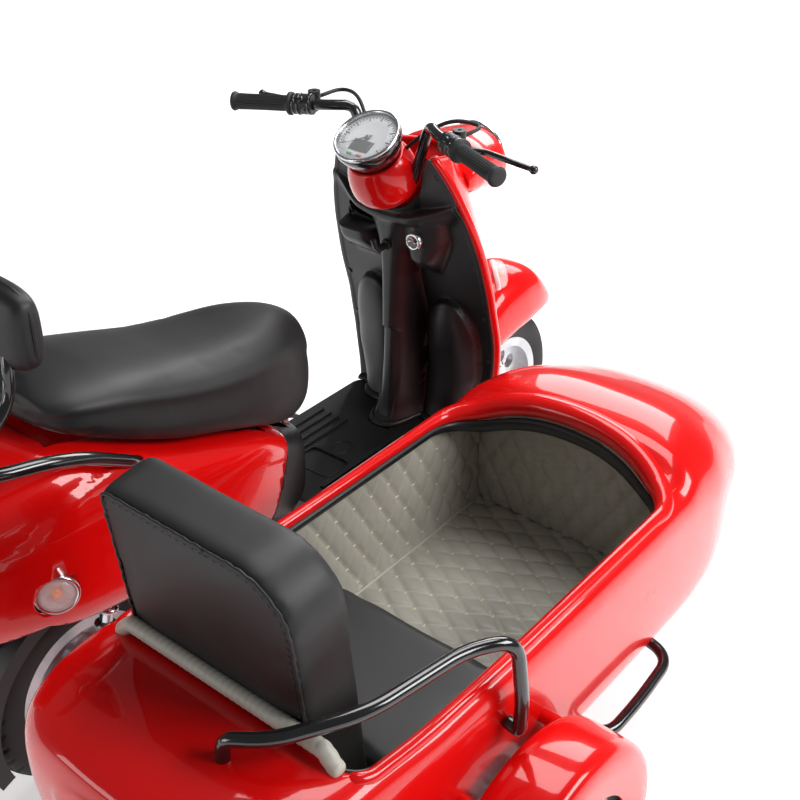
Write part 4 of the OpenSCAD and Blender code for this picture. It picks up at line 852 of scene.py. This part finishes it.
def puffed(o, cap, held, pressure, voxel=0, smooth=0):
    """Swells a sewn cover as cloth, no further than cap from its form, then refines it once."""
    if voxel:
        applied(o, "REMESH", mode="VOXEL", voxel_size=voxel)
    count = len(o.data.vertices)
    start = np.empty(count * 3, np.float32)
    o.data.vertices.foreach_get("co", start)
    start = start.reshape(-1, 3)
    pins = o.vertex_groups.new(name="held")
    pins.add([int(i) for i in np.nonzero(held(start * 1000 + ORIGIN))[0]], 1.0, "REPLACE")
    mod = o.modifiers.new("cloth", "CLOTH")
    mod.settings.quality = 5
    mod.settings.mass = 0.2
    mod.settings.tension_stiffness = mod.settings.compression_stiffness = 12
    mod.settings.bending_stiffness = 1.5
    mod.settings.use_pressure = True
    mod.settings.uniform_pressure_force = pressure
    mod.settings.vertex_group_mass = "held"
    mod.settings.effector_weights.gravity = 0
    mod.collision_settings.use_collision = False
    for f in range(1, 21):
        bpy.context.scene.frame_set(f)
    bpy.ops.object.select_all(action="DESELECT")
    bpy.context.view_layer.objects.active = o
    o.select_set(True)
    bpy.ops.object.modifier_apply(modifier="cloth")
    bpy.context.scene.frame_set(1)
    now = np.empty(count * 3, np.float32)
    o.data.vertices.foreach_get("co", now)
    move = now.reshape(-1, 3) - start
    far = np.linalg.norm(move, axis=1, keepdims=True)
    soft = cap / 1000 * np.tanh(far / (cap / 1000)) / np.maximum(far, 1e-9)
    o.data.vertices.foreach_set("co", (start + move * soft).astype(np.float32).ravel())
    o.vertex_groups.clear()
    if smooth:
        applied(o, "SMOOTH", factor=0.5, iterations=smooth)
    applied(o, "SUBSURF", levels=1, render_levels=1)
    bpy.ops.object.shade_smooth()


SEAT_HALF = 148
seat_rows = [
    [-44, 0.46, 804, 822, 838, 2.4, 2.2], [-34, 0.70, 794, 820, 848, 3, 2.4],
    [10, 0.90, 768, 812, 850, 5, 2.6], [75, 0.98, 733, 796, 842, 6, 2.6],
    [130, 1.00, 705.5, 778, 828, 7, 2.6], [200, 1.00, 671, 752, 808, 7, 2.6],
    [300, 0.98, 633, 722, 780, 7, 2.6], [400, 0.92, 586, 702, 762, 6, 2.6],
    [480, 0.80, 546, 690, 755, 5, 2.5], [545, 0.62, 526, 670, 742, 4, 2.4],
    [586, 0.44, 521, 650, 722, 3, 2.2], [604, 0.26, 542, 640, 698, 2.4, 2.2]]
seat_rows = np.array([[r[0], r[1] * SEAT_HALF] + r[2:] for r in seat_rows])
form = np.array(body_rings(seat_rows, 90, 80, inset=-1, bulge=(4, 5)))
crease = form[..., 2] + 3 - through(seat_rows[:, 0], seat_rows[:, 3], form[..., 0])
form[..., 1] -= np.sign(form[..., 1]) * 4.5 * np.exp(-(crease / 9) ** 2) * ramp(np.abs(form[..., 1]), 30, 70)
saddle = skin("saddle_cover", form)
puffed(saddle, 4, lambda p: p[:, 2] < np.interp(p[:, 0], seat_rows[:, 0], seat_rows[:, 2]) + 8, pressure=2.5)
fitted(saddle, leatherette, "saddle_lid", "leatherette", "saddle")

# Pillion rest: two padded shells of leatherette sewn edge to edge over foam,
# piped along the seam, on the grab rail's stems.
PAD_HALF, PAD_Z, PAD_SEAM_X = 132, 980, -44


def pad_ring(t, n=64):
    w = np.linspace(0, 2 * np.pi, n + 1)
    side = math.copysign(abs(math.sin(t)) ** 0.55, math.sin(t))
    k = abs(math.cos(t)) ** 0.5
    x, z = bowed(np.cos(w), 0.75), bowed(np.sin(w), 0.6)
    return placed(-46 + 33 * k * x, PAD_HALF * side, PAD_Z + (26 + 43 * k) * z * min(1, k * 4))


pad = skin("pillion_pad_cover", [pad_ring(t) for t in np.linspace(-math.pi / 2, math.pi / 2, 50)])
puffed(pad, 3, lambda p: np.abs(p[:, 0] - PAD_SEAM_X) < 4, pressure=3)
fitted(pad, leatherette, "chassis", "leatherette", "pillion_pad")
w = np.linspace(0, 2 * np.pi, 121)
seam_y, seam_z = (PAD_HALF + 0.5) * bowed(np.cos(w), 0.5), PAD_Z + 69.5 * bowed(np.sin(w), 0.5)
seam = pipe("pillion_pad_piping", placed(PAD_SEAM_X, seam_y, seam_z), 3.2, 10)
fitted(seam, leatherette, "chassis", "leatherette")

# Sidecar mudguard: red pressing over the third wheel with a deep outer skirt,
# carried from the tub on two short tubes.
turn_w = np.radians(np.linspace(0, 180, 73))[:, None]
lip = np.array([
    (151, -58), (190, -60), (216, -59.5), (227, -55), (233, -46), (235, -30), (235, 30), (233, 46),
    (227, 55), (216, 59.5), (191, 60)])
inner_lip = [[max(r - 4, 150), y - 4 * np.sign(y) * (abs(y) > 46)] for r, y in lip[::-1]]
lip = np.concatenate([lip, inner_lip, lip[:1]])
wheel_x, wheel_y = SIDE_WHEEL
shell = placed(wheel_x + lip[:, 0] * np.cos(turn_w), wheel_y + lip[:, 1],
               WHEEL_Z + lip[:, 0] * np.sin(turn_w))
first, last = (np.broadcast_to(end.mean(axis=1, keepdims=True), end.shape) for end in (shell[:1], shell[-1:]))
shell = np.concatenate([first, shell, last])
stays = [pipe("stay", [(wheel_x + s * 108, y, 391) for y in (-852, -836, -820)], 12.8, 20, end_round=False)
         for s in (-1, 1)]
side_guard = joined("sidecar_mudguard_cover", [skin("guard", shell)] + stays)
bpy.ops.object.shade_smooth_by_angle(angle=math.radians(40))
fitted(side_guard, gloss_red, "chassis", "red_paint", "sidecar_mudguard")

# Sidecar tub: a teardrop shell in red gloss, with a rolled rim that widens
# into the lip of the hood and a black rubber trim inside it.
tub_rows = [
    [-336, 0.40, 420, 500, 556, 2.4, 2.4], [-322, 0.66, 372, 495, 580, 2.6, 3],
    [-280, 0.86, 320, 490, 594, 3, 4], [-200, 0.97, 270, 480, 598, 3.6, 5],
    [-110, 1.00, 246, 470, 590, 4.6, 6], [60, 1.00, 234, 460, 566, 6, 6], [320, 1.00, 228, 450, 560, 8, 6],
    [620, 1.00, 226, 450, 560, 8, 6], [750, 0.995, 224, 450, 566, 8, 5], [815, 0.99, 223, 450, 600, 8, 3.6],
    [880, 0.98, 224, 445, 606, 7, 3], [990, 0.905, 230, 425, 580, 6, 2.6],
    [1100, 0.75, 252, 400, 530, 4, 2.4], [1190, 0.54, 288, 380, 470, 2.8, 2.2],
    [1250, 0.31, 322, 366, 418, 2.2, 2], [1276, 0.10, 346, 360, 376, 2, 2]]
TUB_HALF, TUB_Y = 270, -550
tub_rows = np.array([[r[0], r[1] * TUB_HALF] + r[2:] for r in tub_rows])
tub = skin("sidecar_shell", body_rings(tub_rows, 150, 104, TUB_Y, bulge=(6, 6)))
applied(tub, "SOLIDIFY", thickness=0.006, offset=-1)


def cockpit_line(grow=0.0, n=64):
    """Plan of the cockpit opening, clockwise from the rear left corner."""
    back, half, r = -116 - grow, 240 + grow, 46.0
    w = np.radians(np.linspace(90, 180, 12))
    corner = np.stack([back + r + r * np.cos(w), half - r + r * np.sin(w)], axis=-1)
    front = np.radians(np.linspace(90, -90, n))
    nose = np.stack([686 + (120 + grow) * np.cos(front), half * np.sin(front)], axis=-1)
    left = np.stack([np.linspace(back + r, 686, 60)[1:-1], np.full(58, half)], axis=-1)
    rear = np.stack([np.full(18, back), np.linspace(-(half - r), half - r, 20)[1:-1]], axis=-1)
    ring = np.concatenate([rear[9:], corner[::-1], left, nose, (left * [1, -1])[::-1],
                           corner * [1, -1], rear[:9]])
    return np.concatenate([ring, ring[:1]])


def tub_section(x):
    return [through(tub_rows[:, 0], tub_rows[:, c], x) for c in range(1, 7)]


def rounded(share, power, least=0.0):
    """What is left of one half axis of a rounded section at a share of the other."""
    return np.clip(1 - share ** power, least, 1) ** (1 / power)


def tub_top(x, y):
    """Height of the tub's upper face over a place in plan."""
    a, _, c, t, _, high = tub_section(x)
    return c + (t - c) * rounded(np.clip(np.abs(y) / a, 0, 1), high)


line = cockpit_line()
hole = skin("hole", [np.column_stack([line + [0, TUB_Y], np.full(len(line), z)]) for z in (440, 900)])
bpy.ops.object.mode_set(mode="EDIT")
bpy.ops.mesh.select_all(action="DESELECT")
bpy.ops.mesh.select_mode(type="EDGE")
bpy.ops.mesh.select_non_manifold()
bpy.ops.mesh.edge_face_add()
bpy.ops.mesh.select_all(action="SELECT")
bpy.ops.mesh.normals_make_consistent(inside=False)
bpy.ops.object.mode_set(mode="OBJECT")
cut(tub, hole)
line = cockpit_line(3)
rim_z = tub_top(line[:, 0], line[:, 1])
hood = ramp(line[:, 0], 640, 800)
rear = ramp(line[:, 0], -100, -112)
rim_path = np.column_stack([line + [0, TUB_Y], rim_z - 6 - 11 * hood - 4 * rear])
rim_roll = pipe("rim", rim_path, 11.5 + 12 * hood - 4 * rear, 24)
sidecar_shell = joined("sidecar_shell", [tub, rim_roll])
fitted(sidecar_shell, gloss_red, "chassis", "red_paint", "sidecar_tub")
trim_rubber = finish("trim_rubber", (0.008, 0.008, 0.009), (0.013, 0.013, 0.014), (0.3, 0.42), 900, 0.1, 12)
line = cockpit_line()
hood = ramp(line[:, :1], 640, 800)
top = tub_top(line[:, 0], line[:, 1]) - 10 - 24 * hood[:, 0]
band = []
for drop, push in ((0, 0), (0, -4), (4, -7), (13, -6), (16, -3), (16, 0), (0, 0)):
    here = cockpit_line(-7 + push) * (1 - hood) + cockpit_line(-17 + push) * hood
    band.append(np.column_stack([here + [0, TUB_Y], top - drop * (1 + 0.7 * hood[:, 0])]))
fitted(skin("cockpit_trim", band), trim_rubber, "chassis", "black_plastic")

# Cockpit lining: foam-backed leatherette quilted in tall diamonds, with double
# stitching and a bar tack at each crossing, piped along its upper edge and the
# floor's corners, with a ribbed lip laid over the rear rim.
U_PITCH, V_PITCH, LINING_L, LINED_FLOOR = 50.0, 84.0, 1010.0, 268.5
LINING_X = -101, 838
LINING_DEEP = LINING_X[1] - LINING_X[0]


def quilt_height(u, v):
    """Rise of the quilting: nothing on the seams, full in the middle of a diamond."""
    a, b = u / U_PITCH + v / V_PITCH, u / U_PITCH - v / V_PITCH
    da, db = np.abs(a - np.round(a)), np.abs(b - np.round(b))
    swell = (1 - (1 - 2 * da) ** 3) * (1 - (1 - 2 * db) ** 3)
    return np.clip(swell, 0, 1) ** 0.5


def lining_profile(x, n):
    """Section of the lined cockpit, from the left upper edge round the floor to the right."""
    a, b, c, t, low, high = (float(q) for q in tub_section(x))
    a, b = a - 18, b + 18
    top_z = t - 20 - ramp(x, 700, 800) * (t - 566)
    z = np.concatenate([np.linspace(top_z, c, 20), np.linspace(c, LINED_FLOOR, 46)[1:]])
    y = a * np.where(z > c, rounded(np.abs(z - c) / (t - c), high), rounded(np.abs(c - z) / (c - b), low))
    left = np.stack([y, z], axis=-1)
    floor_y = np.linspace(y[-1], -y[-1], 110)[1:-1]
    ring = np.concatenate([left, np.stack([floor_y, np.full(108, LINED_FLOOR)], axis=-1),
                           (left * [-1, 1])[::-1]])
    for _ in range(2):
        ring[1:-1] = (ring[:-2] + 2 * ring[1:-1] + ring[2:]) / 4
    far = along_line(ring)
    q = np.linspace(0, far[-1], n)
    return np.stack([np.interp(q, far, ring[:, 0]), np.interp(q, far, ring[:, 1])], axis=-1)


ALONG, ROUND = 184, 208
xs = np.linspace(*LINING_X, ALONG)
flat = np.array([lining_profile(x, ROUND) for x in xs])
P = np.concatenate([np.broadcast_to(xs[:, None, None], (ALONG, ROUND, 1)), flat + [TUB_Y, 0]], axis=-1)
U = np.broadcast_to((xs - LINING_X[0])[:, None], (ALONG, ROUND))
V = np.broadcast_to(((np.linspace(0, 1, ROUND) - 0.5) * LINING_L)[None, :], (ALONG, ROUND))
normal = np.cross(np.gradient(P, axis=1), np.gradient(P, axis=0))
normal *= np.sign(normal[ALONG // 2, ROUND // 2, 2]) / np.linalg.norm(normal, axis=-1, keepdims=True)
edge = ramp(LINING_L / 2 - np.abs(V), 4, 34)
soft = P + normal * (9.0 * (quilt_height(U, V) - 0.45) * edge - 4 * (1 - edge))[..., None]
lining = skin("cockpit_quilting", soft, shut=False)
floor_middle = lining.data.polygons[ALONG // 2 * (ROUND - 1) + ROUND // 2]
applied(lining, "SOLIDIFY", thickness=0.004, offset=-1 if floor_middle.normal.z > 0 else 1)
quilted = finish("quilted_lining", (0.40, 0.382, 0.325), (0.45, 0.43, 0.37), (0.4, 0.52), 600, 0.2, 8,
                 pattern="grain")


def stitched(m):
    """Adds rows of double stitching along the quilting's seams, read from the piece's own UV map."""
    tree = m.node_tree
    link = tree.links.new

    def sum_of(op, a, b=0.0):
        node = added(tree, "Math")
        node.operation = op
        for k, q in enumerate((a, b)):
            if isinstance(q, (int, float)):
                node.inputs[k].default_value = q
            else:
                link(q, node.inputs[k])
        return node.outputs[0]

    parts = added(tree, "SeparateXYZ")
    link(added(tree, "UVMap").outputs["UV"], parts.inputs[0])
    u = sum_of("MULTIPLY", parts.outputs["Y"], LINING_DEEP / U_PITCH)
    v = sum_of("MULTIPLY", sum_of("SUBTRACT", parts.outputs["X"], 0.5), LINING_L / V_PITCH)
    a, b = sum_of("ADD", u, v), sum_of("SUBTRACT", u, v)
    rows = []
    for p, q in ((a, b), (b, a)):
        gap = sum_of("MULTIPLY", sum_of("PINGPONG", p, 0.5), 43.0)
        near = sum_of("LESS_THAN", sum_of("ABSOLUTE", sum_of("SUBTRACT", gap, 2.6)), 0.55)
        dash = sum_of("LESS_THAN", sum_of("PINGPONG", sum_of("MULTIPLY", q, 11.0), 0.5), 0.34)
        rows.append(sum_of("MULTIPLY", near, dash))
    mask = sum_of("MULTIPLY", sum_of("MAXIMUM", *rows), 0.55)
    mix = added(tree, "Mix")
    mix.data_type = "RGBA"
    link(mask, mix.inputs["Factor"])
    link(tree.nodes["tone"].outputs["Color"], mix.inputs["A"])
    mix.inputs["B"].default_value = (0.66, 0.60, 0.48, 1)
    link(mix.outputs["Result"], tree.nodes["Principled BSDF"].inputs["Base Color"])


stitched(quilted)
fitted(lining, quilted, "chassis", "quilted_lining", "cockpit_lining")
thread = finish("pale_thread", (0.72, 0.62, 0.46), (0.82, 0.72, 0.55), (0.5, 0.65), 2000, 0.3, 60)
tack = block("tack", (-9, -1.6, -1.1), (9, 1.6, 1.1))
applied(tack, "BEVEL", width=0.0007, segments=1)
tack.data.transform(Matrix.Translation(Vector(ORIGIN) / 1000))
tacks = []
for k in range(-1, 40):
    for j in range(-14, 15):
        if (k + j) % 2:
            continue
        u, v = k * U_PITCH / 2, j * V_PITCH / 2
        row, col = u / LINING_DEEP * (ALONG - 1), (v / LINING_L + 0.5) * (ROUND - 1)
        if not (3 < row < ALONG - 4 and 4 < col < ROUND - 5):
            continue
        i, q = int(row), int(col)
        f, g = row - i, col - q
        near = soft[i, q] * (1 - f) + soft[i + 1, q] * f
        beyond = soft[i, q + 1] * (1 - f) + soft[i + 1, q + 1] * f
        spot = near * (1 - g) + beyond * g
        n = Vector(normal[i, q])
        along = Vector((1, 0, 0))
        along = (along - n * along.dot(n)).normalized()
        copy = tack.copy()
        copy.data = tack.data.copy()
        bpy.context.collection.objects.link(copy)
        frame_m = Matrix((along, n.cross(along), n)).transposed().to_4x4()
        move = Matrix.Translation(Vector((spot - ORIGIN) / 1000 + np.array(n) * 0.0006))
        copy.data.transform(move @ frame_m)
        tacks.append(copy)
bpy.data.objects.remove(tack)
fitted(joined("lining_tacks", tacks), thread, "chassis", "quilted_lining")


def wall_grid(x, z_low, z_high, inset, facing):
    """A quilted wall across the cockpit, trimmed to the tub's section."""
    a, b, c, t, low, high = (float(q) for q in tub_section(x))
    z = np.linspace(z_low, z_high, 56)[:, None]
    half = (a - inset) * np.where(z > c, rounded(np.abs(z - c) / (t - inset - c), high, 0.02),
                                  rounded(np.abs(c - z) / (c - b - inset), low, 0.02))
    y = half * np.linspace(-1, 1, 100)[None, :]
    lift = 8.0 * (quilt_height(y, np.broadcast_to(z, y.shape)) - 0.45)
    return placed(x + facing * lift, y + TUB_Y, z)


walls = []
for x, z_high, facing in ((LINING_X[1], 590, -1), (LINING_X[0], 584, 1)):
    wall = skin("wall", wall_grid(x, 268, z_high, 18 if facing < 0 else 20, facing), shut=False)
    flat_out = np.sign(wall.data.polygons[300].normal.x) * facing
    walls.append(applied(wall, "SOLIDIFY", thickness=0.009, offset=-flat_out))
cockpit_walls = joined("cockpit_end_walls", walls)
fitted(cockpit_walls, quilted, "chassis", "quilted_lining")
edges = [pipe("piping", soft[4:-4, col] + 5 * normal[4:-4, col], 3.4, 12) for col in (2, -3)]
foot = np.array([ring[np.abs(ring[:, 1] - 274).argmin()] for ring in flat[4:-4:6]])
for s in (-1, 1):
    corner = placed(xs[4:-4:6], TUB_Y + s * (np.abs(foot[:, 0]) - 4), foot[:, 1] + 1)
    edges.append(pipe("corner", corner, 2.6, 10))
ys = np.linspace(-1, 1, 240)
ribs = 12.1 + 0.8 * np.abs(np.sin(np.arange(240) * 0.5))
edges.append(pipe("lip", placed(-113.0, TUB_Y + 216 * ys, 609 - 22 * ramp(np.abs(ys), 0.86, 1.0)), ribs, 16))
pale_piping = finish("pale_piping", (0.52, 0.50, 0.43), (0.58, 0.56, 0.49), (0.4, 0.5), 900, 0.2, 12)
fitted(joined("lining_piping", edges), pale_piping, "chassis", "quilted_lining")

# Sidecar cushion: a flat foam pad in black leatherette on the cockpit's floor;
# its cover is blown up as cloth and held along its foot.
cushion_rows = [
    [50, 176, 288, 360, 384, 3, 4], [54, 190, 276, 366, 394, 3, 5], [64, 198, 270, 370, 396, 3, 6],
    [120, 200, 270, 370, 396, 3, 6], [180, 200, 270, 370, 396, 3, 6], [240, 200, 270, 370, 396, 3, 6],
    [324, 200, 270, 370, 396, 3, 6], [336, 194, 274, 366, 391, 3, 5], [344, 178, 288, 360, 378, 3, 4]]
cushion = skin("sidecar_cushion_cover", body_rings(cushion_rows, 60, 64, TUB_Y, inset=2, bulge=(4, 5)))
puffed(cushion, 7, lambda p: p[:, 2] < 300, pressure=3.5)
fitted(cushion, leatherette, "chassis", "leatherette", "sidecar_cushion")

# Sidecar backrest: a tall boxed cushion in black leatherette, leaning back, one
# shoulder square and the other round; its rear panel is sewn in with a puckered seam.
BACK_FOOT, BACK_DEEP, BACK_LEAN = 268.3, 108, 0.105
BACK_CORNERS = ((226, BACK_FOOT, 130), (226, 864, 26), (-156, 864, 96), (-156, BACK_FOOT, 70))


def back_outline(inset, share, n=18):
    """Outline of the backrest at a share of its thickness from the rear."""
    ring = []
    for k, (cy, cz, r) in enumerate(BACK_CORNERS):
        sy, sz = (1 if k < 2 else -1), (1 if k in (1, 2) else -1)
        for i in range(n + 1):
            w = math.radians((n - i if k % 2 == 0 else i) * 90 / n)
            ring.append((cy - sy * (r - (r - inset) * math.cos(w)),
                         cz - sz * (r - (r - inset) * math.sin(w))))
    ring = np.array(ring + ring[:1])
    far = along_line(ring)
    q = np.linspace(0, far[-1], 241)
    y, z = np.interp(q, far, ring[:, 0]), np.maximum(np.interp(q, far, ring[:, 1]), BACK_FOOT)
    x = 44 - (z - 268) * BACK_LEAN - BACK_DEEP * (1 - share)
    return placed(x, y - np.where(y > 0, 16 * (1 - share), 0) + TUB_Y, z)


def back_rings():
    rings = []
    rear, front = back_outline(13, 0), back_outline(14, 1)
    for k in (0.0, 0.3, 0.6, 0.85):
        rings.append(rear.mean(axis=0) + (rear - rear.mean(axis=0)) * k)
    for inset, share in ((13, 0), (7, 0.012), (3.5, 0.04), (1.2, 0.1), (0, 0.22), (0, 0.4), (0, 0.6),
                         (0.5, 0.8), (2.5, 0.92), (6.5, 0.975), (14, 1)):
        rings.append(back_outline(inset, share))
    for k in (0.85, 0.6, 0.3, 0.0):
        rings.append(front.mean(axis=0) + (front - front.mean(axis=0)) * k + [6 * (1 - k), 0, 0])
    return rings


backrest = skin("backrest_cover", back_rings())
puffed(backrest, 6, lambda p: p[:, 2] < 276, pressure=3.0, voxel=0.009, smooth=2)
fitted(backrest, leatherette, "chassis", "leatherette", "sidecar_backrest")
seam_line = back_outline(11.5, 0.012)
pucker = 1.4 * np.sin(np.arange(241) * 1.9) + 0.8 * np.sin(np.arange(241) * 0.83)
seam_line[:, 0] += 0.5 * pucker
seam = pipe("backrest_seam", seam_line, 2.8 + 0.5 * np.sin(np.arange(241) * 2.4), 10)
fitted(seam, leatherette, "chassis", "leatherette")
stitch_line = back_outline(18, 0.0)
dashes = []
for a, b in zip(stitch_line[0:240:2], stitch_line[1:240:2]):
    dashes.append(pipe("dash", [a - [1.6, 0, 0], a * 0.4 + b * 0.6 - [2.0, 0, 0]], 0.8, 6))
black_thread = finish("black_thread", (0.03, 0.03, 0.032), (0.05, 0.05, 0.052), (0.5, 0.6), 2000, 0.3, 60)
fitted(joined("backrest_stitches", dashes), black_thread, "chassis", "leatherette")

# Hand rail and side bar: black gloss tubes, each bent from one length and
# bolted to the tub's side.
def beside_tub(x, z, gap):
    """A point at a height, a gap outside the tub's right wall."""
    a, _, c, t, _, high = (float(q) for q in tub_section(x))
    return (x, TUB_Y - a * rounded(max(0.0, z - c) / (t - c), high) - gap, z)


loop_line = [beside_tub(190, 470, 3), beside_tub(190, 462, 26), beside_tub(192, 520, 30), (186, -836, 640),
             (120, -796, 646), (-60, -768, 650), (-170, -700, 646), (-196, -640, 630), (-200, -640, 592)]
loop = pipe("hand_rail_tube", bent(loop_line, 46), 11, 20)
fitted(loop, fine_black, "chassis", "black_steel", "hand_rail")
bar_line = [(690, -760, 260), (690, -850, 242), (560, -858, 236), (450, -858, 236), (440, -760, 260)]
bar = pipe("side_bar_tube", bent(bar_line, 44), 11, 20)
fitted(bar, fine_black, "chassis", "black_steel", "nose_bar")
